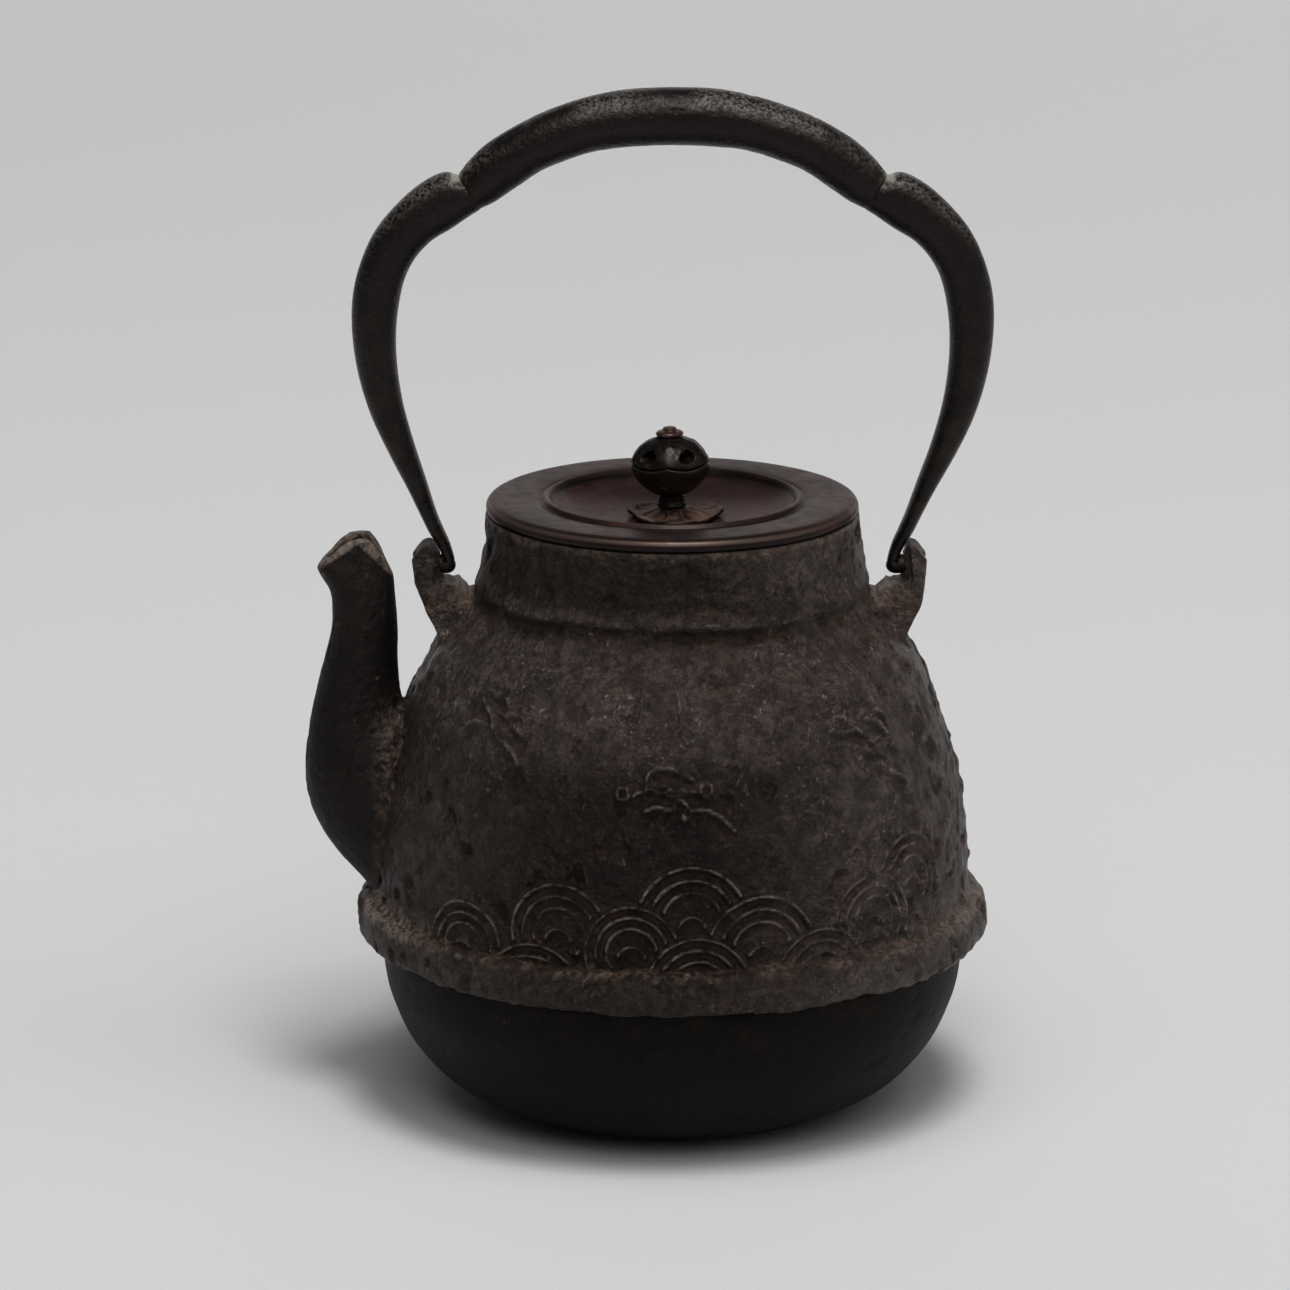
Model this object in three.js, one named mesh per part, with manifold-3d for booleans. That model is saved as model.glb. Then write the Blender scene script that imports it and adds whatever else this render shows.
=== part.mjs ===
// Cast-iron kettle with a swinging bail and a lift-off lid with a turning knob.
// Millimetres, +Z up. The origin is where the kettle's axis meets the surface it stands on.
// The spout points along -X and the two bail lugs stand at -X and +X.
import * as THREE from 'three';
import Module from 'manifold-3d';
import { mergeVertices } from 'three/addons/utils/BufferGeometryUtils.js';

const wasm = await Module();
wasm.setup();

// ---- driving dimensions -------------------------------------------------------
const GAP = 0.3; // clearance between neighbouring pieces
const AROUND = 52; // facets around the kettle's axis

const FOOT_RADIUS = 41;
const FLANGE_RADIUS = 85;
const FLANGE_UNDER_Z = 47.4;
const FLANGE_TOP_Z = 57.2;
const SPIGOT_RADIUS = 76.2;
const SPIGOT_TOP_Z = 54;
const MOUTH_RADIUS = 45.8;
const MOUTH_Z = 163.2;
const RIDGE_Z = 144.4;
const RIDGE_RADIUS = 54.6;
const WALL = 4.4;

const PIVOT_Z = 148.5; // the bail swings about this line, parallel to X
const EYE_RADIUS = 3.3;
const HOOK_RADIUS = 2.6;
const LUG_INNER_X = 60.9; // inner face of a lug where the pivot line crosses it
const LUG_LEAN = 0.34; // outward lean, run over rise
const HOOK_TIP_X = 68.2;

const LID_RADIUS = 49.9;
const LID_UNDER_Z = 163.5;
const LID_RIM_TOP_Z = 166.8;
const LID_CENTRE_TOP_Z = 161.4;
const LID_SHEET = 2;
const BEAD_RADIUS = 34;
const BEAD_TOP_Z = 167.4;
const COLLAR_RADIUS = 44.6;
const COLLAR_DEPTH = 11;

const SEAT_RADIUS = 12.6;
const SEAT_PETALS = 8;
const SEAT_RISE = 2.6;
const PIN_RADIUS = 2;
const PIN_HOLE_RADIUS = 2.4;
const KNOB_RADIUS = 10.5;
const KNOB_STEM_RADIUS = 3.4;
const KNOB_OPENINGS = 5;

// ---- materials ----------------------------------------------------------------
const material = (colour, roughness, metalness) =>
  new THREE.MeshStandardMaterial({ color: colour, roughness, metalness });
const roughIron = material(0x3a3330, 0.75, 0.55);
const bowlIron = material(0x2b2a29, 0.6, 0.5);
const wroughtIron = material(0x2c2a28, 0.5, 0.7);
const lidBronze = material(0x4d332b, 0.42, 0.8);
const knobBronze = material(0x6b5648, 0.45, 0.8);

// ---- helpers --------------------------------------------------------------------
function toManifold(geometry) {
  const bare = geometry.clone();
  bare.deleteAttribute('normal');
  bare.deleteAttribute('uv');
  const merged = mergeVertices(bare, 1e-4);
  const vertProperties = new Float32Array(merged.attributes.position.array);
  const triVerts = new Uint32Array(merged.index.array);
  return new wasm.Manifold(new wasm.Mesh({ numProp: 3, vertProperties, triVerts }));
}

function toMesh(name, solid, mat) {
  const { numProp, vertProperties, triVerts } = solid.getMesh();
  const positions = new Float32Array((vertProperties.length / numProp) * 3);
  for (let i = 0; i < positions.length / 3; i += 1) {
    for (let k = 0; k < 3; k += 1) {
      positions[i * 3 + k] = vertProperties[i * numProp + k];
    }
  }
  const geometry = new THREE.BufferGeometry();
  geometry.setAttribute('position', new THREE.BufferAttribute(positions, 3));
  geometry.setIndex(new THREE.BufferAttribute(new Uint32Array(triVerts), 1));
  geometry.computeVertexNormals();
  const mesh = new THREE.Mesh(geometry, mat);
  mesh.name = name;
  return mesh;
}

// A solid of revolution about Z. The outline is a closed loop of [radius, z],
// or runs from axis to axis.
function turned(outline, facets = AROUND) {
  const points = outline.map(([r, z]) => new THREE.Vector2(r, z));
  const startsOnAxis = outline[0][0] === 0 && outline[outline.length - 1][0] === 0;
  if (!startsOnAxis) {
    points.push(points[0].clone());
  }
  const geometry = new THREE.LatheGeometry(points, facets);
  geometry.rotateX(Math.PI / 2);
  const solid = toManifold(geometry);
  return solid.volume() > 0 ? solid : toManifold(flipped(geometry));
}

function flipped(geometry) {
  const out = geometry.clone();
  const index = out.index.array;
  for (let i = 0; i < index.length; i += 3) {
    const keep = index[i];
    index[i] = index[i + 1];
    index[i + 1] = keep;
  }
  return out;
}

// A solid skinned over a row of closed rings, each with the same number of points.
function skinned(rings) {
  const n = rings[0].length;
  const positions = rings.flat(2);
  const index = [];
  for (let s = 0; s < rings.length - 1; s += 1) {
    for (let i = 0; i < n; i += 1) {
      const j = (i + 1) % n;
      const a = s * n + i;
      const b = s * n + j;
      index.push(a, b, a + n, b, b + n, a + n);
    }
  }
  for (const [ring, turn] of [[0, -1], [rings.length - 1, 1]]) {
    const centre = [0, 1, 2].map((k) => rings[ring].reduce((t, p) => t + p[k], 0) / n);
    const hub = positions.length / 3;
    positions.push(...centre);
    for (let i = 0; i < n; i += 1) {
      const a = ring * n + i;
      const b = ring * n + ((i + 1) % n);
      index.push(...(turn > 0 ? [a, b, hub] : [b, a, hub]));
    }
  }
  const geometry = new THREE.BufferGeometry();
  geometry.setAttribute('position', new THREE.BufferAttribute(new Float32Array(positions), 3));
  geometry.setIndex(index);
  const solid = toManifold(geometry);
  return solid.volume() > 0 ? solid : toManifold(flipped(geometry));
}

// A ring around the middle of two points of the XZ plane. It spans them there and
// reaches halfDepth each way along Y. Higher squareness gives flatter sides.
function crossSection(outer, inner, halfDepth, squareness, n) {
  const middle = [(outer[0] + inner[0]) / 2, (outer[1] + inner[1]) / 2];
  const half = [(outer[0] - inner[0]) / 2, (outer[1] - inner[1]) / 2];
  const ring = [];
  for (let i = 0; i < n; i += 1) {
    const t = (2 * Math.PI * i) / n;
    const c = Math.sign(Math.cos(t)) * Math.abs(Math.cos(t)) ** (2 / squareness);
    const s = Math.sign(Math.sin(t)) * Math.abs(Math.sin(t)) ** (2 / squareness);
    ring.push([middle[0] + half[0] * c, halfDepth * s, middle[1] + half[1] * c]);
  }
  return ring;
}

function extrudedAlongY(outline, halfWidth) {
  const shape = new THREE.Shape(outline.map(([x, z]) => new THREE.Vector2(x, z)));
  const geometry = new THREE.ExtrudeGeometry(shape, { depth: 2 * halfWidth, bevelEnabled: false });
  geometry.rotateX(Math.PI / 2);
  geometry.translate(0, halfWidth, 0);
  return toManifold(geometry);
}

function extrudedAlongX(outline, fromX, toX) {
  const shape = new THREE.Shape(outline.map(([y, z]) => new THREE.Vector2(y, z)));
  const geometry = new THREE.ExtrudeGeometry(shape, { depth: toX - fromX, bevelEnabled: false });
  geometry.rotateX(Math.PI / 2);
  geometry.rotateZ(Math.PI / 2);
  geometry.translate(fromX, 0, 0);
  return toManifold(geometry);
}

function rodAlongX(radius, fromX, toX, z, facets) {
  const geometry = new THREE.CylinderGeometry(radius, radius, toX - fromX, facets);
  geometry.rotateZ(Math.PI / 2);
  geometry.translate((fromX + toX) / 2, 0, z);
  return toManifold(geometry);
}

const mirroredX = (solid) => solid.mirror([1, 0, 0]);

// ---- kettle body ------------------------------------------------------------------
// Outside of the casting from the flange's rim up to the mouth.
const bodyOutside = [
  [82.8, FLANGE_UNDER_Z],
  [84.6, 48.8],
  [FLANGE_RADIUS, 52.4],
  [84.4, 56],
  [83.2, FLANGE_TOP_Z],
  [80.8, 58],
  [80, 62],
  [79.3, 73],
  [78.4, 84],
  [76.8, 93],
  [74.4, 102],
  [71.4, 111],
  [68, 119],
  [64.4, 126],
  [60.2, 131],
  [55.8, 135.4],
  [53.3, 140.2],
  [RIDGE_RADIUS, RIDGE_Z - 1.8],
  [RIDGE_RADIUS, RIDGE_Z + 1.2],
  [51.8, RIDGE_Z + 3.2],
  [50.6, 154],
  [50, MOUTH_Z],
];
const bodyInside = [
  [MOUTH_RADIUS, MOUTH_Z],
  [46, 144],
  [49, 137],
  [57.4, 128],
  [64, 118.6],
  [69.8, 102],
  [73.8, 86],
  [75.2, 72],
  [75.6, SPIGOT_TOP_Z + GAP + 2],
  [74.4, SPIGOT_TOP_Z + GAP],
  [SPIGOT_RADIUS + GAP, SPIGOT_TOP_Z + GAP],
  [SPIGOT_RADIUS + GAP, FLANGE_UNDER_Z],
];

// The smooth fitted bottom: its spigot sits inside the flange.
const bowlOutline = [
  [0, 0],
  [FOOT_RADIUS, 0],
  [49.5, 2.4],
  [56, 5.4],
  [62.1, 9],
  [67.8, 14.6],
  [72.4, 21],
  [75.3, 27.4],
  [77.4, 34],
  [78.4, FLANGE_UNDER_Z - GAP - 2],
  [78.2, FLANGE_UNDER_Z - GAP],
  [SPIGOT_RADIUS, FLANGE_UNDER_Z - GAP],
  [SPIGOT_RADIUS, SPIGOT_TOP_Z],
  [72.6, SPIGOT_TOP_Z],
  [73.6, 38],
  [71, 27],
  [65, 17.4],
  [56, 9.6],
  [44, 5.6],
  [34, WALL],
  [0, WALL],
];

// The body's outside as a filled solid, grown by the clearance: it trims what joins the body.
const bodyEnvelope = turned([
  [0, FLANGE_UNDER_Z],
  ...bodyOutside.map(([r, z]) => [r + GAP, z]),
  [0, MOUTH_Z],
]);

// ---- spout -------------------------------------------------------------------------
const SPOUT_FACETS = 24;
const SPOUT_WALL = 2.2;
// [front x, front z, back x, back z, half depth along Y] from the root to the lip.
const spoutStations = [
  [-84, 61.5, -58, 104, 16.5],
  [-92.4, 71.2, -65.5, 106, 16],
  [-97.8, 82, -69.6, 108, 14.4],
  [-99.2, 92, -72, 109.4, 13],
  [-97.9, 104, -73.2, 111.4, 11.6],
  [-96, 113.4, -73.6, 116.4, 10.6],
  [-93.6, 123, -73.9, 123.6, 9.8],
  [-91.6, 132, -74.1, 131, 9],
  [-91.8, 140.6, -74.6, 138.6, 8.2],
  [-95.6, 148.6, -75.2, 147, 7.2],
  [-92.6, 158, -76.6, 157.4, 6.2],
];
// Side view of the lip: high cheeks, a low back and a short beak at the front.
const lipCut = [
  [-99, 147.2],
  [-95.8, 147.2],
  [-92.9, 149.6],
  [-89.6, 153.2],
  [-86.4, 155.6],
  [-81.4, 155.6],
  [-78.8, 152.6],
  [-76.8, 148.6],
  [-75.2, 145.2],
  [-70, 145.2],
  [-70, 170],
  [-99, 170],
];

const spoutRings = (inset) =>
  spoutStations.map(([fx, fz, bx, bz, depth]) => {
    const length = Math.hypot(bx - fx, bz - fz);
    const ux = ((bx - fx) / length) * inset;
    const uz = ((bz - fz) / length) * inset;
    return crossSection([fx + ux, fz + uz], [bx - ux, bz - uz], depth - inset, 2, SPOUT_FACETS);
  });
const spoutCheeks = extrudedAlongY(lipCut, 20);
const spoutChannel = skinned(spoutRings(SPOUT_WALL));
const spoutSolid = skinned(spoutRings(0))
  .subtract(spoutChannel)
  .subtract(spoutCheeks)
  .subtract(bodyEnvelope);

// ---- lugs ----------------------------------------------------------------------------
// Seen along Y: a slab leaning outward with a chamfered outer top corner.
const lugInnerX = (z) => LUG_INNER_X + LUG_LEAN * (z - PIVOT_Z);
const LUG_WEB_Z = 143.3; // top of the web that ties the foot of a lug to the neck
const lugSide = [
  [50, 124],
  [50, LUG_WEB_Z],
  [lugInnerX(LUG_WEB_Z), LUG_WEB_Z],
  [lugInnerX(153.6), 153.6],
  [64.4, 154.8],
  [66.4, 154.2],
  [69.2, 150.6],
  [68.6, 144.6],
  [66.2, 137],
  [62.6, 129.6],
  [61, 124],
];
// Seen along X: an angular outline, widest a little below the eye.
const lugFace = [
  [-6.6, 124],
  [-7.2, 140.6],
  [-6, 148.5],
  [-4.8, 155],
  [4.8, 155],
  [6, 148.5],
  [7.2, 140.6],
  [6.6, 124],
];
// How far out the leg of the bail reaches at each distance from the pivot line, with its
// clearance: [distance, x]. The lug is relieved to this shape where the leg swings past it.
const legReach = [
  [0, 60.8],
  [4.8, 60.8],
  [8.4, 63.6],
  [10, 64.6],
];
const RELIEF_FLOOR_Z = 143.8;
function swingRelief() {
  const outline = [[0, 50], [10, 50], ...[...legReach].reverse()];
  const points = outline.map(([r, x]) => new THREE.Vector2(r, x));
  const geometry = new THREE.LatheGeometry(points, 32);
  geometry.rotateZ(-Math.PI / 2);
  geometry.translate(0, 0, PIVOT_Z);
  const turnedRelief = toManifold(geometry);
  const solid = turnedRelief.volume() > 0 ? turnedRelief : toManifold(flipped(geometry));
  return solid.trimByPlane([0, 0, 1], RELIEF_FLOOR_Z);
}
function lug() {
  const slab = extrudedAlongY(lugSide, 12).intersect(extrudedAlongX(lugFace, 50, 75));
  const eye = rodAlongX(EYE_RADIUS, 50, 75, PIVOT_Z, 24);
  return slab.subtract(eye).subtract(bodyEnvelope).subtract(swingRelief());
}
const farLug = lug();
const spoutLug = mirroredX(farLug);

const upperBody = turned([...bodyOutside, ...bodyInside]).subtract(spoutChannel);

// ---- bail ------------------------------------------------------------------------------
const BAIL_FACETS = 16;
// Right half of the grip, from the crown to the notch: [outer x, z, inner x, z, half depth].
const gripHalf = [
  [0, 278, 0, 262.7, 8.2],
  [12, 277.4, 9.8, 262.3, 8.2],
  [22.6, 275.3, 18.8, 261.3, 8.1],
  [32, 272.3, 26.8, 259.1, 7.9],
  [41.4, 267.9, 35.2, 255.7, 7.6],
  [48.6, 263.4, 41.8, 251.2, 7.2],
  [53.4, 259, 47, 247.6, 6.8],
  [56.8, 254.8, 50.6, 245.7, 6.3],
];
// Arm beyond the notch, down to the root of the hook.
const armStations = [
  [57.2, 254.5, 50.9, 245.5, 6.3],
  [60.6, 255, 53.6, 243.8, 6.6],
  [67, 252, 58.5, 240.4, 6.8],
  [74.3, 245.4, 64.2, 236.8, 6.8],
  [79.4, 238.8, 68.5, 232, 6.6],
  [83, 230.8, 71.4, 226, 6.4],
  [85.1, 222.2, 73.1, 218, 6.2],
  [85.4, 212.4, 73.7, 210, 6],
  [84, 201.4, 73.3, 201.4, 5.8],
  [80.7, 189.8, 71.8, 191.8, 5.4],
  [75.7, 178.8, 69, 181.4, 5.1],
  [70.6, 169.2, 65.6, 171.2, 4.8],
  [66.6, 161.4, 62, 162.8, 4.4],
  [63.4, 156.6, 59, 157.8, 3.7],
  [60.5, 153, 57.4, 153.8, 2.9],
];
const hookRoot = [
  [60.4, 151.2, 57.1, 151.4, 2.7],
  [60.4, 149, 57.1, 149, 2.6],
  [60.2, 146.7, 57.5, 146.9, 2.2],
];
const station = ([ox, oz, ix, iz, depth], squareness) =>
  crossSection([ox, oz], [ix, iz], depth, squareness, BAIL_FACETS);
const mirrorStation = ([ox, oz, ix, iz, depth]) => [-ox, oz, -ix, iz, depth];

const grip = skinned([
  ...gripHalf.slice(1).reverse().map(mirrorStation),
  ...gripHalf,
].map((s) => station(s, 2.1)));

// Tapered blank of the arm, then the short round hook that turns out into the eye.
function arm() {
  const shank = skinned([...armStations, ...hookRoot].map((s) => station(s, 2.4)));
  const hook = rodAlongX(HOOK_RADIUS, 58.4, HOOK_TIP_X, PIVOT_Z, 16);
  const notchCut = extrudedAlongY([
    [50.8 - 8, 245.6 - 11],
    [50.8 + GAP, 245.6 - GAP],
    [57 + GAP, 254.6 - GAP],
    [57 + GAP, 270],
    [30, 270],
    [30, 234],
  ], 20);
  return shank.add(hook).subtract(notchCut);
}
const farArm = arm();
const spoutArm = mirroredX(farArm);

// ---- lid ----------------------------------------------------------------------------------
const lidOutline = [
  [PIN_HOLE_RADIUS, LID_CENTRE_TOP_Z],
  [13.2, LID_CENTRE_TOP_Z],
  [20, 162.4],
  [26.5, 164.2],
  [31.2, 165.8],
  [32.6, 166.4],
  [33.2, BEAD_TOP_Z - 0.1],
  [BEAD_RADIUS, BEAD_TOP_Z],
  [34.9, BEAD_TOP_Z - 0.3],
  [35.6, 166.6],
  [42, LID_RIM_TOP_Z + 0.1],
  [47, LID_RIM_TOP_Z],
  [49.2, LID_RIM_TOP_Z - 0.7],
  [LID_RADIUS, 165],
  [49.6, LID_UNDER_Z],
  [32.4, LID_UNDER_Z],
  [26.5, 162],
  [20, 160.4],
  [13.2, LID_CENTRE_TOP_Z - LID_SHEET],
  [PIN_HOLE_RADIUS, LID_CENTRE_TOP_Z - LID_SHEET],
];
const collarTop = LID_UNDER_Z - GAP;
const collarOutline = [
  [COLLAR_RADIUS, collarTop],
  [COLLAR_RADIUS - 0.3, collarTop - COLLAR_DEPTH],
  [COLLAR_RADIUS - 1.9, collarTop - COLLAR_DEPTH],
  [COLLAR_RADIUS - 1.6, collarTop],
];

// Flower-shaped seat under the knob, its petal tips slightly raised.
const seatBase = LID_CENTRE_TOP_Z + GAP;
function flowerSeat() {
  const steps = SEAT_PETALS * 6;
  const ring = (scale, z, lift) => {
    const out = [];
    for (let i = 0; i < steps; i += 1) {
      const t = (2 * Math.PI * i) / steps;
      const petal = Math.abs(Math.cos((SEAT_PETALS * t) / 2)) ** 1.4;
      const r = SEAT_RADIUS * scale * (0.8 + 0.2 * petal);
      out.push([r * Math.cos(t), r * Math.sin(t), z + lift * petal]);
    }
    return out;
  };
  const skin = skinned([
    ring(0.3, seatBase, 0),
    ring(0.72, seatBase, 0),
    ring(1, seatBase + 0.5, 0.7),
    ring(1, seatBase + 1.2, 0.8),
    ring(0.75, seatBase + 1.3, 0),
    ring(0.5, seatBase + 2.1, 0),
    ring(0.3, seatBase + SEAT_RISE, 0),
  ]);
  const hole = new THREE.CylinderGeometry(PIN_HOLE_RADIUS, PIN_HOLE_RADIUS, 20, 20);
  hole.rotateX(Math.PI / 2);
  hole.translate(0, 0, seatBase);
  return skin.subtract(toManifold(hole));
}
const backWasher = turned([
  [PIN_HOLE_RADIUS, LID_CENTRE_TOP_Z - LID_SHEET - GAP],
  [6.4, LID_CENTRE_TOP_Z - LID_SHEET - GAP],
  [6.4, LID_CENTRE_TOP_Z - LID_SHEET - GAP - 1],
  [PIN_HOLE_RADIUS, LID_CENTRE_TOP_Z - LID_SHEET - GAP - 1],
], 28);

// ---- knob ----------------------------------------------------------------------------------
const stemBase = seatBase + SEAT_RISE + GAP;
const BUD_LOW_Z = 167.6;
const BUD_MID_Z = 176.9;
const BUD_TOP_Z = 183.4;
const washerUnder = LID_CENTRE_TOP_Z - LID_SHEET - GAP - 1;
// Stem and pin in one: the pin runs down through the lid and its head is spread under the washer.
const knobPin = turned([
  [0, washerUnder - GAP - 1.4],
  [3.6, washerUnder - GAP - 1.2],
  [3.6, washerUnder - GAP],
  [PIN_RADIUS, washerUnder - GAP],
  [PIN_RADIUS, stemBase],
  [KNOB_STEM_RADIUS + 0.5, stemBase],
  [KNOB_STEM_RADIUS, stemBase + 0.9],
  [KNOB_STEM_RADIUS - 0.2, BUD_LOW_Z - GAP],
  [0, BUD_LOW_Z - GAP],
], 20);

// Lower cup of the bud with a scalloped rim.
function scallopedRing(r, z, wave, n) {
  const out = [];
  for (let i = 0; i < n; i += 1) {
    const t = (2 * Math.PI * i) / n;
    out.push([r * Math.cos(t), r * Math.sin(t), z + wave * Math.cos(KNOB_OPENINGS * 2 * t)]);
  }
  return out;
}
const CUP_FACETS = 40;
const knobCup = skinned([
  scallopedRing(2.8, BUD_LOW_Z, 0, CUP_FACETS),
  scallopedRing(3.8, BUD_LOW_Z + 0.2, 0, CUP_FACETS),
  scallopedRing(5.9, BUD_LOW_Z + 1.3, 0, CUP_FACETS),
  scallopedRing(8.1, BUD_LOW_Z + 3.2, 0, CUP_FACETS),
  scallopedRing(9.8, BUD_LOW_Z + 5.5, 0, CUP_FACETS),
  scallopedRing(KNOB_RADIUS, BUD_MID_Z - 1.2, 0.5, CUP_FACETS),
  scallopedRing(KNOB_RADIUS - 1.4, BUD_MID_Z - 1, 0.5, CUP_FACETS),
  scallopedRing(8.4, BUD_LOW_Z + 5.2, 0, CUP_FACETS),
  scallopedRing(5.4, BUD_LOW_Z + 2.9, 0, CUP_FACETS),
]);

// Upper tent of the bud, pierced by large openings between its ribs.
function piercedTent() {
  const shell = turned([
    [KNOB_RADIUS - 0.2, BUD_MID_Z],
    [KNOB_RADIUS - 0.3, BUD_MID_Z + 0.7],
    [9.3, BUD_MID_Z + 2.7],
    [6.8, BUD_MID_Z + 5],
    [4.2, BUD_TOP_Z - 0.4],
    [3.4, BUD_TOP_Z],
    [0, BUD_TOP_Z],
    [0, BUD_TOP_Z - 1.6],
    [3, BUD_TOP_Z - 1.8],
    [6, BUD_MID_Z + 3.6],
    [8.2, BUD_MID_Z + 1.6],
    [8.8, BUD_MID_Z],
  ], CUP_FACETS);
  let tent = shell;
  for (let i = 0; i < KNOB_OPENINGS; i += 1) {
    const opening = new THREE.SphereGeometry(2.1, 12, 8);
    opening.scale(1.6, 1, 0.9);
    opening.translate(8.2, 0, BUD_MID_Z + 3);
    opening.rotateZ(((i + 0.18) * 2 * Math.PI) / KNOB_OPENINGS);
    tent = tent.subtract(toManifold(opening));
  }
  return tent;
}
const finial = turned([
  [0, BUD_TOP_Z + GAP],
  [3.2, BUD_TOP_Z + GAP],
  [3.7, BUD_TOP_Z + GAP + 0.6],
  [3.2, BUD_TOP_Z + GAP + 1.3],
  [1.8, BUD_TOP_Z + GAP + 1.5],
  [1.6, BUD_TOP_Z + GAP + 2.2],
  [0, BUD_TOP_Z + GAP + 2.4],
], 24);

// ---- assembly ----------------------------------------------------------------------------
const part = new THREE.Group();
part.name = 'iron_kettle';
part.add(
  toMesh('upper_body', upperBody, roughIron),
  toMesh('base_bowl', turned(bowlOutline), bowlIron),
  toMesh('spout', spoutSolid, roughIron),
  toMesh('lug_spout_side', spoutLug, roughIron),
  toMesh('lug_far_side', farLug, roughIron),
  toMesh('bail_grip', grip, wroughtIron),
  toMesh('bail_arm_spout_side', spoutArm, wroughtIron),
  toMesh('bail_arm_far_side', farArm, wroughtIron),
  toMesh('lid_plate', turned(lidOutline), lidBronze),
  toMesh('lid_collar', turned(collarOutline), lidBronze),
  toMesh('knob_seat', flowerSeat(), lidBronze),
  toMesh('knob_washer', backWasher, lidBronze),
  toMesh('knob_pin', knobPin, knobBronze),
  toMesh('knob_cup', knobCup, knobBronze),
  toMesh('knob_tent', piercedTent(), knobBronze),
  toMesh('knob_finial', finial, lidBronze),
);

export default part;
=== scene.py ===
import bpy
import math
import numpy as np
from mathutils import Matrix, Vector


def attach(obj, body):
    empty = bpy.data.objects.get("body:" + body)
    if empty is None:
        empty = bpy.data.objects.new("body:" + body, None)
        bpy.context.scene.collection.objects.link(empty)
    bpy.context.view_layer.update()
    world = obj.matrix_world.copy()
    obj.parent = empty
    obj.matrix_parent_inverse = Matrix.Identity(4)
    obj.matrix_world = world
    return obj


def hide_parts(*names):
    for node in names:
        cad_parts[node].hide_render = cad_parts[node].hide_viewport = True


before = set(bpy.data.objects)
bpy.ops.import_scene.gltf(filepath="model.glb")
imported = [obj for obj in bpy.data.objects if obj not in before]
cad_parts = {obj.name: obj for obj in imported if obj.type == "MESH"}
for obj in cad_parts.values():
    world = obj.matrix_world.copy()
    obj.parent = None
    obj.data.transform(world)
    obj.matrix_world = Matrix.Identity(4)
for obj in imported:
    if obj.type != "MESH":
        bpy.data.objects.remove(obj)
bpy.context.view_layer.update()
MM = 0.001

# ---------------------------------------------------------------- shape numbers (mm)
PIVOT_Z = 148.5
LID_TOP_Z = 161.4
MOUTH_Z = 163.2
HOOK_RADIUS = 2.6
LUG_VOXEL, TENT_VOXEL = 0.36, 0.17
SEAT_SHIFT = 0.8                     # the flower seat stands off the lid's axis
WEB_TOP_Z = 145.45                   # highest place of the web that the hook clears
BODY_OUTSIDE = [
    (82.8, 47.4), (84.6, 48.8), (85.0, 52.4), (84.4, 56.0), (83.0, 57.6), (80.8, 58.4),
    (80.0, 62.0), (79.3, 73.0), (78.4, 84.0), (76.8, 93.0), (74.4, 102.0), (71.4, 111.0),
    (68.0, 119.0), (64.4, 126.0), (60.2, 131.0), (55.8, 135.4), (53.4, 140.0),
    (52.6, 144.0), (51.6, 148.0), (50.6, 154.0), (50.0, 162.9),
]
BODY_INSIDE = [
    (45.9, 162.9), (46.0, 144.0), (49.0, 137.0), (57.4, 128.0), (64.0, 118.6), (69.8, 102.0),
    (73.8, 86.0), (75.2, 72.0), (75.6, 56.4), (76.6, 54.3), (76.6, 47.4),
]
BOWL = [
    (0.0, 0.0), (41.0, 0.0), (49.5, 2.4), (56.0, 5.4), (62.1, 9.0), (67.8, 14.6), (72.4, 21.0),
    (75.3, 27.4), (77.4, 34.0), (78.4, 42.0), (78.3, 46.0), (77.6, 47.1), (76.2, 47.1), (76.2, 54.0),
    (72.6, 54.0), (73.6, 38.0), (71.0, 27.0), (65.0, 17.4), (56.0, 9.6), (44.0, 5.6),
    (34.0, 4.4), (0.0, 4.4),
]


# ---------------------------------------------------------------- noise
def lattice(ix, iy, iz, seed):
    h = (ix * 374761393 + iy * 668265263 + iz * 2147483647 + seed * 974711) & 0xFFFFFFFF
    h = ((h ^ (h >> 13)) * 1274126177) & 0xFFFFFFFF
    h = ((h ^ (h >> 16)) * 2246822519) & 0xFFFFFFFF
    return ((h ^ (h >> 15)) & 0xFFFFFF) / float(0xFFFFFF) * 2.0 - 1.0


def value_noise(p, seed):
    cell = np.floor(p).astype(np.int64)
    f = p - cell
    f = f * f * (3.0 - 2.0 * f)
    total = 0.0
    for dx in (0, 1):
        wx = f[..., 0] if dx else 1.0 - f[..., 0]
        for dy in (0, 1):
            wy = f[..., 1] if dy else 1.0 - f[..., 1]
            for dz in (0, 1):
                wz = f[..., 2] if dz else 1.0 - f[..., 2]
                corner = lattice(cell[..., 0] + dx, cell[..., 1] + dy, cell[..., 2] + dz, seed)
                total = total + wx * wy * wz * corner
    return total


def fbm(p, size, octaves, seed, gain=0.5):
    """Fractal noise of the points p (mm), about -1 to 1, with its coarsest feature of the given size."""
    q = np.asarray(p, float) / size + 37.0
    total, amp, norm = 0.0, 1.0, 0.0
    for k in range(octaves):
        total = total + amp * value_noise(q * 2.0 ** k, seed + 17 * k)
        norm += amp
        amp *= gain
    return total / norm * 1.6


def bell(x, width):
    return np.exp(-((x / width) ** 2))


def smooth(edge0, edge1, x):
    t = np.clip((x - edge0) / (edge1 - edge0), 0.0, 1.0)
    return t * t * (3.0 - 2.0 * t)


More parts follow.
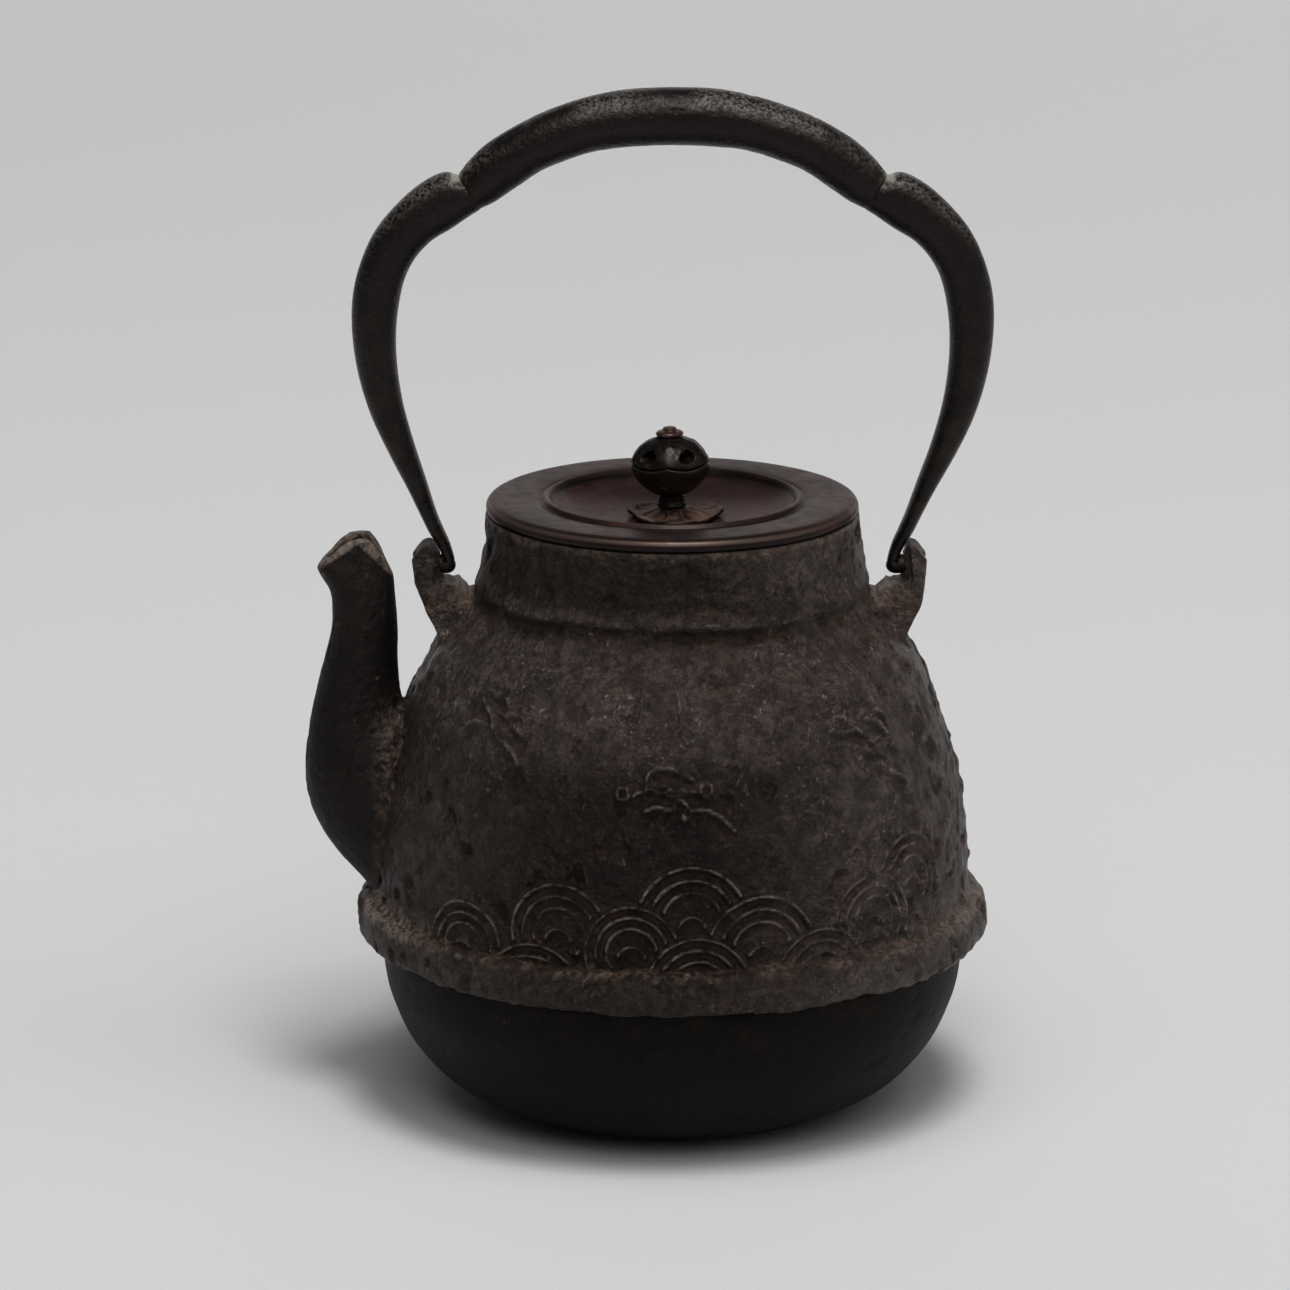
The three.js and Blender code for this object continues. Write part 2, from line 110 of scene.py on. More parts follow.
# ---------------------------------------------------------------- curves and meshes
def curve(points, count, spread=None):
    """count points along a smooth curve through the given ones, evenly by length or by spread weights."""
    p = np.asarray(points, float)
    ext = np.vstack([2 * p[0] - p[1], p, 2 * p[-1] - p[-2]])
    fine = []
    for i in range(1, len(ext) - 2):
        a, b, c, d = ext[i - 1], ext[i], ext[i + 1], ext[i + 2]
        t0 = max(np.linalg.norm((b - a)[:3]) ** 0.5, 1e-6)
        t1 = max(np.linalg.norm((c - b)[:3]) ** 0.5, 1e-6)
        t2 = max(np.linalg.norm((d - c)[:3]) ** 0.5, 1e-6)
        m1 = (c - b) + t1 * ((b - a) / t0 - (c - a) / (t0 + t1))
        m2 = (c - b) + t1 * ((d - c) / t2 - (d - b) / (t1 + t2))
        u = np.linspace(0, 1, 24, endpoint=i == len(ext) - 3)[:, None]
        fine.append((2 * u ** 3 - 3 * u ** 2 + 1) * b + (u ** 3 - 2 * u ** 2 + u) * m1
                    + (-2 * u ** 3 + 3 * u ** 2) * c + (u ** 3 - u ** 2) * m2)
    fine = np.vstack(fine)
    step = np.linalg.norm(np.diff(fine, axis=0), axis=1)
    if spread is not None:
        step = step * spread((fine[1:] + fine[:-1]) / 2)
    along = np.concatenate([[0.0], np.cumsum(step)])
    at = np.linspace(0, along[-1], count)
    return np.stack([np.interp(at, along, fine[:, k]) for k in range(p.shape[1])], 1)


def linked(name, data):
    obj = bpy.data.objects.new(name, data)
    bpy.context.scene.collection.objects.link(obj)
    return obj


def make_object(name, verts, faces):
    """A mesh object from points in mm and a list of face index arrays (quads or triangles)."""
    mesh = bpy.data.meshes.new(name)
    groups = [np.asarray(f, np.int32) for f in faces if len(f)]
    loops = np.concatenate([g.ravel() for g in groups])
    sizes = np.concatenate([np.full(len(g), g.shape[1], np.int32) for g in groups])
    starts = np.concatenate([[0], np.cumsum(sizes)[:-1]]).astype(np.int32)
    mesh.vertices.add(len(verts))
    mesh.vertices.foreach_set("co", (np.asarray(verts, float) * MM).astype(np.float32).ravel())
    mesh.loops.add(len(loops))
    mesh.loops.foreach_set("vertex_index", loops)
    mesh.polygons.add(len(sizes))
    mesh.polygons.foreach_set("loop_start", starts)
    mesh.update(calc_edges=True)
    mesh.validate()
    mesh.polygons.foreach_set("use_smooth", np.ones(len(mesh.polygons), bool))
    return linked(name, mesh)


def grid_faces(rows, cols, close_rows=False, flip=False):
    """Quads over a grid of points whose columns go right round."""
    r = np.arange(rows if close_rows else rows - 1)
    r, c = np.meshgrid(r, np.arange(cols), indexing="ij")
    r2, c2 = (r + 1) % rows, (c + 1) % cols
    quads = np.stack([r * cols + c, r * cols + c2, r2 * cols + c2, r2 * cols + c], -1).reshape(-1, 4)
    return quads[:, ::-1] if flip else quads


def skinned(name, rings, flip=False):
    """A closed skin over rings of points (rows, cols, 3), its two ends closed by fans."""
    rows, cols = rings.shape[:2]
    verts = np.vstack([rings.reshape(-1, 3), rings[0].mean(0), rings[-1].mean(0)])
    i = np.arange(cols)
    j = (i + 1) % cols
    low = np.stack([j, i, np.full(cols, rows * cols)], 1)
    base = (rows - 1) * cols
    high = np.stack([base + i, base + j, np.full(cols, rows * cols + 1)], 1)
    if flip:
        low, high = low[:, ::-1], high[:, ::-1]
    return make_object(name, verts, [grid_faces(rows, cols, flip=flip), low, high])


def turned_points(profile, angles):
    """Points of a solid of revolution: rows follow the profile, columns the angles from -Y towards +X."""
    r, z = profile[:, 0:1], profile[:, 1:2]
    a = angles[None, :]
    return np.stack([r * np.sin(a), -r * np.cos(a), np.broadcast_to(z, (len(profile), len(angles)))], -1)


def whole_turn(count):
    return np.linspace(0, 2 * math.pi, count, endpoint=False)


def level_ring(r, turn, z):
    """One ring of points round the Z axis; r and z may vary round it."""
    return np.stack([r * np.cos(turn), r * np.sin(turn), z + 0 * turn], -1)


def closed_tube(name, rings, flip=False):
    """A ring-shaped skin: its last ring of points joins its first."""
    faces = grid_faces(len(rings), rings.shape[1], close_rows=True, flip=flip)
    return make_object(name, rings.reshape(-1, 3), [faces])


def turned_normals(profile, angles):
    t = np.gradient(profile, axis=0)
    n = np.stack([t[:, 1], -t[:, 0]], 1)
    n = n / np.maximum(np.linalg.norm(n, axis=1, keepdims=True), 1e-9)
    return np.stack([n[:, 0:1] * np.sin(angles), -n[:, 0:1] * np.cos(angles),
                     np.repeat(n[:, 1:2], len(angles), 1)], -1)


def away_from(axis, p):
    """Unit vectors from an axis out to the points p."""
    away = p - axis
    return away / np.maximum(np.linalg.norm(away, axis=-1, keepdims=True), 1e-6)


def apply_modifiers(obj):
    dg = bpy.context.evaluated_depsgraph_get()
    mesh = bpy.data.meshes.new_from_object(obj.evaluated_get(dg))
    old = obj.data
    obj.modifiers.clear()
    obj.data = mesh
    bpy.data.meshes.remove(old)
    mesh.polygons.foreach_set("use_smooth", np.ones(len(mesh.polygons), bool))
    return obj


def vertex_values(obj, field):
    values = np.zeros(len(obj.data.vertices) * 3, np.float32)
    obj.data.vertices.foreach_get(field, values)
    return values.reshape(-1, 3).astype(float)


def points_of(obj):
    return vertex_values(obj, "co") / MM


def normals_of(obj):
    return vertex_values(obj, "normal")


def set_points(obj, p):
    obj.data.vertices.foreach_set("co", (p * MM).astype(np.float32).ravel())
    obj.data.update()


def neighbours_smoothed(obj, p, times):
    """Laplacian smoothing of the points p over obj's edges."""
    edges = np.zeros(len(obj.data.edges) * 2, np.int32)
    obj.data.edges.foreach_get("vertices", edges)
    a, b = edges.reshape(-1, 2).T
    degree = np.maximum(np.bincount(a, minlength=len(p)) + np.bincount(b, minlength=len(p)), 1)[:, None]
    for _ in range(times):
        total = np.zeros_like(p)
        for k in range(3):
            total[:, k] = (np.bincount(a, p[b, k], minlength=len(p))
                           + np.bincount(b, p[a, k], minlength=len(p)))
        p = total / degree
    return p


def cut_away(obj, other):
    mod = obj.modifiers.new("cut", "BOOLEAN")
    mod.operation = "DIFFERENCE"
    mod.solver = "EXACT"
    mod.object = other
    apply_modifiers(obj)
    bpy.data.objects.remove(other)


def remeshed(obj, voxel):
    mod = obj.modifiers.new("skin", "REMESH")
    mod.mode = "VOXEL"
    mod.voxel_size = voxel * MM
    mod.use_smooth_shade = True
    return apply_modifiers(obj)


def joined(objects):
    """One object holding the meshes of several."""
    first = objects[0]
    verts, faces, start = [], [], 0
    for o in objects:
        verts.append(points_of(o))
        for poly in o.data.polygons:
            faces.append([v + start for v in poly.vertices])
        start += len(o.data.vertices)
    mesh = bpy.data.meshes.new(first.name)
    mesh.from_pydata((np.vstack(verts) * MM).tolist(), [], faces)
    first.data = mesh
    for o in objects[1:]:
        bpy.data.objects.remove(o)
    return first


def copy_of(node, name):
    return linked(name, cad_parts[node].data.copy())


def body_radius(z):
    table = np.array(BODY_OUTSIDE)
    return np.interp(z, table[:, 1], table[:, 0])


def place(obj, body, slot, *nodes):
    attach(obj, body)
    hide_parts(*nodes)
    return obj, slot


# ---------------------------------------------------------------- cast reliefs
# Wave fans: (angle in degrees, height of the centre, outer radius). Later ones lie in front.
WAVE_FANS = [
    (52.0, 74.2, 12.9), (3.5, 71.9, 14.5), (-22.0, 67.0, 13.4), (41.0, 66.6, 12.6),
    (-7.8, 63.4, 12.4), (16.8, 63.4, 14.6), (-43.0, 59.0, 12.4), (29.0, 54.0, 13.4),
    (-27.0, 49.6, 14.0), (4.6, 54.2, 13.3),
]
# Birds: (angle, height, strokes in mm around that point, curls in mm around it).
BIRDS = [
    (-40.3, 117.4, [
        [(-10.5, 6.5), (-7.5, 7.5), (-4.5, 7), (-0.5, 6.5), (1.5, 4)],
        [(-9.5, 6), (-6.5, 3.5), (-3.5, 2), (-2, -1), (0, -3)],
        [(-3.5, 2), (-1, 3), (1.5, 2.5), (3.5, 3.5), (7.5, 2.5)],
        [(4, 0.5), (7.5, -1)],
        [(0, -3), (3, -4), (5.5, -5.5), (7.5, -8)],
        [(-12.5, -2), (-9, -0.5), (-4.5, 0)],
    ], []),
    (0.3, 104.0, [
        [(-7.5, 3), (-7, 5.5), (-4.5, 7), (-1, 7), (2, 6), (5, 4)],
        [(-12.5, -0.5), (-9.5, 1), (-6.5, 2), (-4.5, 1.5), (-1, 0.5), (2, -1), (4, -3), (8.5, -3.5),
         (11.5, -5), (15, -8.5)],
        [(-6, 4), (-3.5, 3), (-1, 2), (2.5, 1.5), (6.5, 1.5)],
        [(-7.5, -3.5), (-5, -2.5), (-2, -3), (0.5, -3)],
        [(2, -4), (2.5, -5.5), (4, -4.5)],
    ], [(-13.5, 0.6), (8.1, 1.8)]),
    (45.9, 111.5, [
        [(-10, 8.5), (-7, 8), (-6.5, 6.5)],
        [(-12, 5.5), (-8.5, 4.5), (-4, 4.5), (-2, 3), (0.5, 0.5), (3, -2.5), (5.5, -5)],
        [(0, 8.5), (5, 8), (8.5, 5.5), (9.5, 3.5)],
        [(0.5, 6.5), (4, 5.5), (5.5, 3.5), (8, 0), (10, -3.5)],
        [(-5, 0.5), (-1.5, -1), (2.5, -3)],
        [(2.5, -5), (5.5, -8), (10, -10.5), (11, -13)],
    ], []),
]
SPIRALS = [(31.0, 73.4), (38.1, 85.2)]


def arc_length_from(angle, centre, radius):
    """Signed distance round the body from a centre angle, both in degrees."""
    turn = (angle - centre + 180.0) % 360.0 - 180.0
    return np.radians(turn) * radius


def stroke_distance(s, t, stroke):
    """Distance from the points to a polyline, and how far along it the nearest place is."""
    best = np.full(s.shape, 1e9)
    where = np.zeros(s.shape)
    for k in range(len(stroke) - 1):
        (ax, ay), (bx, by) = stroke[k], stroke[k + 1]
        dx, dy = bx - ax, by - ay
        u = np.clip(((s - ax) * dx + (t - ay) * dy) / (dx * dx + dy * dy), 0.0, 1.0)
        d = np.hypot(s - ax - u * dx, t - ay - u * dy)
        near = d < best
        best = np.where(near, d, best)
        where = np.where(near, (k + u) / (len(stroke) - 1), where)
    return best, where


def wave_relief(angle, z, p):
    """Height of the overlapping wave fans and the scrolls beside them."""
    height = np.zeros(angle.shape)
    wear = 0.9 + 0.55 * fbm(p, 7.0, 2, 5)
    for centre, zc, radius in WAVE_FANS:
        s = arc_length_from(angle, centre, 79.0)
        t = z - zc
        rho = np.hypot(s, t)
        fan = 0.45 * smooth(radius + 0.9, radius - 0.1, rho)
        lines = np.zeros(angle.shape)
        for share in (0.985, 0.755, 0.53):
            lines = np.maximum(lines, bell(rho - radius * share, 0.68))
        small = np.hypot(s, t + radius * 0.16)
        lines = np.maximum(lines, bell(small - 3.6, 0.66) * (t > -radius * 0.12))
        groove = 0.35 * (bell(rho - radius * 0.87, 0.9) + bell(rho - radius * 0.64, 0.9))
        own = fan + (0.92 * lines - groove) * np.clip(wear, 0.3, 1.2)
        inside = smooth(radius + 1.3, radius + 0.5, rho) * (t > -2.5 - 0.2 * radius)
        height = height * (1 - inside) + own * inside
    for centre, zc in SPIRALS:
        s, t = arc_length_from(angle, centre, 79.0), z - zc
        rho, turn = np.hypot(s, t), np.arctan2(t, s)
        height = np.maximum(height, 0.7 * bell(rho - 1.7 - 0.35 * turn / math.pi, 0.55))
    return height * smooth(57.6, 60.0, z) * smooth(91.0, 88.0, z)


def bird_relief(angle, z):
    """Height of the flying birds: a soft raised body with sharper strokes on it."""
    height = np.zeros(angle.shape)
    for centre, zc, strokes, curls in BIRDS:
        s = arc_length_from(angle, centre, body_radius(zc))
        t = z - zc
        near = (np.abs(s) < 20) & (np.abs(t) < 18)
        if not near.any():
            continue
        sn, tn = s[near], t[near]
        sharp, soft = np.zeros(sn.shape), np.zeros(sn.shape)
        for stroke in strokes:
            d, where = stroke_distance(sn, tn, stroke)
            taper = 0.55 + 0.45 * np.sin(np.pi * np.clip(where * 0.9 + 0.08, 0, 1))
            sharp = np.maximum(sharp, taper * bell(d, 0.74))
            soft = np.maximum(soft, taper * bell(d, 2.3))
        for cs, ct in curls:
            ring = np.hypot(sn - cs, tn - ct)
            sharp = np.maximum(sharp, bell(ring - 1.5, 0.55))
            soft = np.maximum(soft, bell(ring, 2.4))
        height[near] += 2.0 * sharp + 0.5 * soft
    return height


def relief(angle, z, p):
    """All the casting's raised work, on the front and again on the back, in mm."""
    both = np.zeros(angle.shape)
    for half in (0.0, 180.0):
        a = angle - half
        both = np.maximum(both, wave_relief(a, z, p) + bird_relief(a, z))
    return both


# ---------------------------------------------------------------- upper body
def even_angles(count):
    """Angles round the body: closest together on the front, next closest at the sides."""
    a = np.linspace(-math.pi, math.pi, 4001)
    density = np.where(np.abs(a) < math.radians(60), 2.6, np.where(np.abs(a) < math.radians(98), 1.5, 1.0))
    density = np.convolve(np.pad(density, 60, mode="edge"), np.ones(121) / 121, "valid")
    along = np.concatenate([[0], np.cumsum((density[1:] + density[:-1]) / 2)])
    at = np.linspace(0, along[-1], count, endpoint=False)
    return np.interp(at, along, a)


def upper_body():
    def spread(q):
        z = q[:, 1]
        return np.where((z > 58) & (z < 90), 1.9, np.where(z < 124, 1.15, 0.75))
    outer = curve(BODY_OUTSIDE, 144, spread)
    lip = np.array([(49.6, MOUTH_Z), (48.0, MOUTH_Z + 0.15), (46.4, MOUTH_Z)])
    inner = curve(BODY_INSIDE, 12)
    angles = even_angles(622)
    p = turned_points(outer, angles)
    n = turned_normals(outer, angles)
    deg = np.degrees(angles)[None, :] + np.zeros(len(outer))[:, None]
    z = np.repeat(outer[:, 1:2], len(angles), 1)
    height = relief(deg, z, p)
    calm = 1.0 - 0.75 * smooth(0.1, 0.5, height)
    lumps = 0.36 * fbm(p, 15.0, 3, 11) + 0.42 * calm * fbm(p, 4.2, 3, 23)
    pits = fbm(p, 5.0, 2, 41)
    height = height + lumps - 1.0 * calm * smooth(0.42, 0.80, pits)
    height = height + 0.65 * calm * smooth(0.4, 0.85, fbm(p * [1, 1, 0.8], 6.0, 3, 43))
    # Broken ridge round the neck, with a soft second fold over it.
    around = np.stack([np.cos(angles), np.sin(angles), 0 * angles], -1) * 30.0
    wobble = 1.5 * fbm(around, 13.0, 3, 61) - 0.3
    strength = np.clip(0.95 + 1.3 * fbm(around, 5.0, 3, 67), 0.2, 1.35)
    drop = z - (144.4 + wobble)
    fading = 1.0 - 0.75 * smooth(0.80, 0.97, np.abs(np.sin(angles)))
    ridge = 1.8 * strength * fading * np.where(drop > 0, bell(drop, 2.3), bell(drop, 1.4))
    height = height + ridge - 0.8 * strength * fading * bell(drop + 3.3, 1.5)
    second = z - (149.8 + 1.3 * fbm(around, 11.0, 2, 69))
    height = height + 0.55 * np.clip(fbm(around, 9.0, 2, 70), 0, 1) * bell(second, 1.1)
    # Ragged flange: crumbled crease above, chewed edge below.
    edge = smooth(59.5, 57.5, z)
    ragged = 0.5 * fbm(p * [1, 1, 1.6], 8.0, 2, 71) + 0.45 * fbm(p, 3.0, 3, 73)
    height = height + edge * (0.24 * ragged + 0.1)
    crease = bell(z - (58.6 + 0.5 * fbm(around * 2, 6.0, 2, 79)), 1.1)
    height = height + crease * (0.35 + 0.38 * fbm(p, 2.6, 3, 83))
    fade = smooth(MOUTH_Z + 0.5, MOUTH_Z - 3.0, z)
    height = height * fade
    p = p + n * height[..., None]
    p[..., 2] += smooth(52.0, 47.4, z) * (0.6 * fbm(around * 2.4, 8.0, 3, 89) - 0.1)
    rings = np.concatenate([p, turned_points(lip, angles), turned_points(inner, angles)])
    obj = closed_tube("casting", rings)
    return place(obj, "kettle", "rough_iron", "upper_body")


def base_bowl():
    outer = curve(BOWL[1:12], 90)
    inner = np.array(BOWL[12:])
    start = np.array([(0.02, 0.0), (20.0, 0.0), (38.0, 0.0)])
    profile = np.vstack([start, outer, inner])
    profile[-1, 0] = 0.02
    angles = np.linspace(-math.pi, math.pi, 360, endpoint=False)
    p = turned_points(profile, angles)
    # Only the outside between foot and flange is rough.
    weight = np.zeros(len(profile))
    weight[6:len(start) + 84] = 1.0
    height = 0.10 * fbm(p, 24.0, 2, 101) + 0.05 * fbm(p, 4.0, 3, 103)
    height = height - 0.25 * smooth(0.72, 1.0, fbm(p, 5.0, 2, 107))
    height = height * weight[:, None]
    p = p + turned_normals(profile, angles) * height[..., None]
    obj = skinned("fitted_bottom", p)
    return place(obj, "kettle", "bowl_iron", "base_bowl")


# ---------------------------------------------------------------- spout
# (front x, front z, back x, back z, half depth) from the root to the lip.
SPOUT = [
    (-80.0, 57.0, -54.0, 101.0, 16.8), (-84.0, 61.5, -58.0, 104.0, 16.5), (-92.4, 71.2, -65.5, 106.0, 16.0),
    (-97.8, 82.0, -69.6, 108.0, 14.4), (-99.2, 92.0, -72.0, 109.4, 13.0), (-97.9, 104.0, -73.2, 111.4, 11.6),
    (-96.0, 113.4, -73.6, 116.4, 10.6), (-93.6, 123.0, -73.9, 123.6, 9.8), (-91.6, 132.0, -74.1, 131.0, 9.0),
    (-91.8, 140.6, -74.6, 138.6, 8.2), (-95.6, 148.6, -75.2, 147.0, 7.2), (-92.6, 158.0, -76.6, 157.4, 6.2),
]
LIP = [
    (-97.0, 147.0), (-95.8, 147.2), (-94.4, 148.4), (-92.6, 150.0), (-89.6, 153.4), (-86.6, 155.5),
    (-84.0, 156.0), (-81.2, 155.5), (-78.8, 152.6), (-76.8, 148.6), (-75.4, 145.4), (-74.0, 145.0),
]
SPOUT_WALL = 2.2
OUTSIDE_SINK, INSIDE_SINK = 0.9, 3.9     # how far the spout's two skins run into the body


def spout_ring(row, turn, inset):
    front, back = row[0:2], row[2:4]
    middle, half = (front + back) / 2, (front - back) / 2
    length = np.linalg.norm(half)
    half = half * (1 - inset / length)
    x = middle[0] + half[0] * np.cos(turn)
    z = middle[1] + half[1] * np.cos(turn)
    return np.stack([x, (row[4] - inset) * np.sin(turn), z], -1)


def spout():
    around, rows_out, rows_in = 144, 150, 60
    turn = whole_turn(around)
    fine = curve(SPOUT, 700)
    lip = np.array(LIP)
    end_noise = 0.35 * fbm(np.stack([np.cos(turn), np.sin(turn), 0 * turn], -1) * 6.0, 3.0, 2, 131)

    def trimmed(inset, count, raise_by):
        tube = np.stack([spout_ring(row, turn, inset) for row in fine])
        out = np.zeros((count, around, 3))
        for k in range(around):
            line = tube[:, k]
            above = line[:, 2] > np.interp(line[:, 0], lip[:, 0], lip[:, 1]) + raise_by + end_noise[k]
            above &= np.arange(len(line)) > 300
            stop = int(np.argmax(above)) if above.any() else len(line) - 1
            sink = OUTSIDE_SINK if inset == 0 else INSIDE_SINK
            outside = np.hypot(line[:, 0], line[:, 1]) > body_radius(line[:, 2]) - sink
            start = int(np.argmax(outside)) if outside.any() else 0
            at = np.linspace(start, stop, count)
            for c in range(3):
                out[:, k, c] = np.interp(at, np.arange(len(line)), line[:, c])
        return out
    outer = trimmed(0.0, rows_out, 0.0)
    inner = trimmed(SPOUT_WALL, rows_in, -0.1)
    away = away_from(outer.mean(1, keepdims=True), outer)
    gap = np.hypot(outer[..., 0], outer[..., 1]) - body_radius(outer[..., 2])
    rough = fbm(outer, 3.0, 3, 137)
    flare = np.exp(-np.maximum(gap, 0) / 1.7) * (2.1 + 1.1 * rough)
    skin = 0.16 * fbm(outer, 12.0, 2, 139) + 0.12 * fbm(outer, 3.4, 3, 149)
    skin = skin - 0.35 * smooth(0.6, 1.0, fbm(outer, 3.8, 2, 151))
    seam_side = bell(turn - math.pi / 2, 0.12)[None, :] + bell(turn - 3 * math.pi / 2, 0.12)[None, :]
    skin = skin + 0.18 * seam_side * (1 + rough)
    near_lip = np.linspace(0, 1, rows_out)[:, None] ** 14
    outer = outer + away * (flare + skin * (1 - 0.7 * near_lip))[..., None]
    rim = (outer[-1] + inner[-1]) / 2
    rim[:, 2] += 0.55
    cheek = outer[-1] * 0.8 + inner[-1] * 0.2
    cheek[:, 2] += 0.35
    cheek_in = outer[-1] * 0.2 + inner[-1] * 0.8
    cheek_in[:, 2] += 0.35
    rings = np.concatenate([outer, cheek[None], rim[None], cheek_in[None], inner[::-1]])
    obj = closed_tube("spout_skin", rings, flip=True)
    return place(obj, "kettle", "spout_iron", "spout")


# ---------------------------------------------------------------- lugs
def lug(node, name, side, seed):
    block = copy_of(node, name)
    root = copy_of(node, name + "_root")
    p = points_of(root)
    low = p[:, 2] < 143.5
    p[low] += np.array([-side * 1.6, 0.0, -1.4])
    set_points(root, p)
    obj = remeshed(joined([block, root]), LUG_VOXEL)
    p = neighbours_smoothed(obj, points_of(obj), 2)
    set_points(obj, p)
    n = normals_of(obj)
    gap = np.hypot(p[:, 0], p[:, 1]) - body_radius(p[:, 2])
    flare = np.exp(-np.maximum(gap, 0) / 1.4) * (1.2 + 1.0 * fbm(p, 2.6, 3, seed))
    flare = flare * smooth(142.6, 138.0, p[:, 2])
    from_pivot = np.hypot(p[:, 1], p[:, 2] - PIVOT_Z)
    calm = smooth(3.4, 5.0, from_pivot)
    skin = calm * (0.16 * fbm(p, 7.0, 2, seed + 3) + 0.09 * fbm(p, 2.4, 3, seed + 5) - 0.08)
    p = p + n * (flare + skin)[:, None]
    outer_half = smooth(61.5, 66.0, np.abs(p[:, 0]))
    shift = 1.1 * outer_half if side > 0 else 0.7
    p[:, 0] -= shift * smooth(138.0, 146.0, p[:, 2])
    # The web between lug and neck climbs from a notch at the neck to the foot of the bail.
    out = np.abs(p[:, 0])
    lift = np.interp(out, [52.0, 54.8, 57.4, 60.0], [0.0, -2.0, 0.4, 0.0])
    p[:, 2] += lift * smooth(139.5, 143.5, p[:, 2])
    under_hook = (out > 56.4) & (out < 61.4) & (p[:, 2] > 143.0) & (p[:, 2] < WEB_TOP_Z)
    web = p[under_hook, 2]
    p[under_hook, 2] = np.minimum(web + 0.7 * smooth(143.0, 144.0, web), WEB_TOP_Z)
    # The inner face is dished, so that the bail's arm clears it when it lies down.
    arm_face = np.interp(np.abs(p[:, 1]), [0.0, 2.4, 3.3, 5.8, 9.0], [60.9, 61.6, 62.6, 64.2, 65.8])
    beyond = np.where(out > 60.0, np.maximum(arm_face - out, 0.0), 0.0)
    p[:, 0] += side * beyond * smooth(143.9, 145.5, p[:, 2])
    set_points(obj, p)
    return place(obj, "kettle", "rough_iron", node)


# ---------------------------------------------------------------- bail
# (outer x, outer z, inner x, inner z, half depth): the grip from its middle outwards, the arm downwards.
GRIP = [
    (0, 278, 0, 262.7, 8.2), (12, 277.4, 9.8, 262.3, 8.2), (22.6, 275.3, 18.8, 261.3, 8.1),
    (32, 272.3, 26.8, 259.1, 7.9), (41.4, 267.9, 35.2, 255.7, 7.6), (48.6, 263.4, 41.8, 251.2, 7.2),
    (53.4, 259, 47, 247.6, 6.8), (56.7, 254.9, 50.5, 245.8, 6.2),
]
ARM = [
    (56.0, 254.2, 50.0, 246.4, 5.7), (57.4, 254.4, 51.3, 245.3, 6.2), (60.6, 255.1, 53.6, 243.8, 6.6),
    (67, 252, 58.5, 240.4, 6.8),
    (74.3, 245.4, 64.2, 236.8, 6.8), (79.4, 238.8, 68.5, 232, 6.6), (83, 230.8, 71.4, 226, 6.4),
    (85.1, 222.2, 73.1, 218, 6.2), (85.4, 212.4, 73.7, 210, 6), (84, 201.4, 73.3, 201.4, 5.8),
    (80.7, 189.8, 71.8, 191.8, 5.4), (75.7, 178.8, 69, 181.4, 5.1), (70.6, 169.2, 65.6, 171.2, 4.8),
    (66.8, 161.4, 62.7, 162.4, 4.4), (65.0, 157.6, 60.9, 158.0, 3.9), (63.0, 154.3, 59.4, 154.6, 3.3),
    (61.7, 151.8, 58.5, 151.8, 2.9), (61.0, 150.0, 58.1, 150.0, 2.7),
]
HOOK = [(60.6, 149.2, 58.0, 149.2, 2.6)]


def section(row, turn, squareness):
    middle, half = (row[0:2] + row[2:4]) / 2, (row[0:2] - row[2:4]) / 2
    c, s = np.cos(turn), np.sin(turn)
    c = np.sign(c) * np.abs(c) ** (2 / squareness)
    s = np.sign(s) * np.abs(s) ** (2 / squareness)
    return np.stack([middle[0] + half[0] * c, row[4] * s, middle[1] + half[1] * c], -1)


def forged(p, axis, seed):
    """Hammered and slightly corroded wrought-iron surface."""
    away = away_from(axis, p)
    height = 0.13 * fbm(p, 11.0, 2, seed) + 0.05 * fbm(p, 2.6, 3, seed + 7)
    height = height - 0.12 * smooth(0.65, 1.0, fbm(p, 3.0, 2, seed + 9))
    return p + away * height[..., None]


def bail_grip():
    turn = whole_turn(96)
    half = np.array(GRIP, float)
    left = half[1:][::-1] * [-1, 1, -1, 1, 1]
    rows = curve(np.vstack([left, half]), 260)
    rings = np.stack([section(r, turn, 2.1) for r in rows])
    rings = forged(rings, rings.mean(1, keepdims=True), 201)
    obj = skinned("bail_grip_skin", rings, flip=True)
    return place(obj, "bail", "wrought_iron", "bail_grip")


def bail_arm(node, side):
    around = 72
    turn = whole_turn(around)
    rows = curve(np.array(ARM + HOOK, float), 250)
    rings = np.stack([section(r, turn, 2.4) for r in rows])
    # The leg's foot turns outwards and runs on as a round hook through the eye of the lug.
    bend = []
    for k in range(1, 15):
        a = math.pi / 2 * k / 14
        half = 1.3 + 1.3 * math.sin(a)
        middle = np.array([60.2 - 0.9 * math.cos(a), 0.0, 149.2 - 0.7 * math.sin(a)])
        across = np.array([math.cos(a), 0, math.sin(a)])
        bend.append(middle + np.cos(turn)[:, None] * half * across
                    + np.sin(turn)[:, None] * np.array([0, HOOK_RADIUS, 0]))
    tip = []
    for x, s in ((62.0, 1.0), (64.5, 1.0), (67.2, 1.0), (67.8, 0.93), (68.1, 0.8), (68.2, 0.5)):
        r = HOOK_RADIUS * s
        tip.append(np.stack([np.full(around, x), np.sin(turn) * r, PIVOT_Z + np.cos(turn) * r], -1))
    rings = np.concatenate([rings, np.stack(bend), np.stack(tip)])
    if side < 0:
        rings = rings * [-1, 1, 1]
    # The bail hangs a little off centre, so each leg stands its own distance from the neck.
    rings[..., 0] -= 0.45 * smooth(185.0, 158.0, rings[..., 2])
    obj = skinned(node + "_skin", rings, flip=side < 0)
    return place(obj, "bail", "wrought_iron", node)


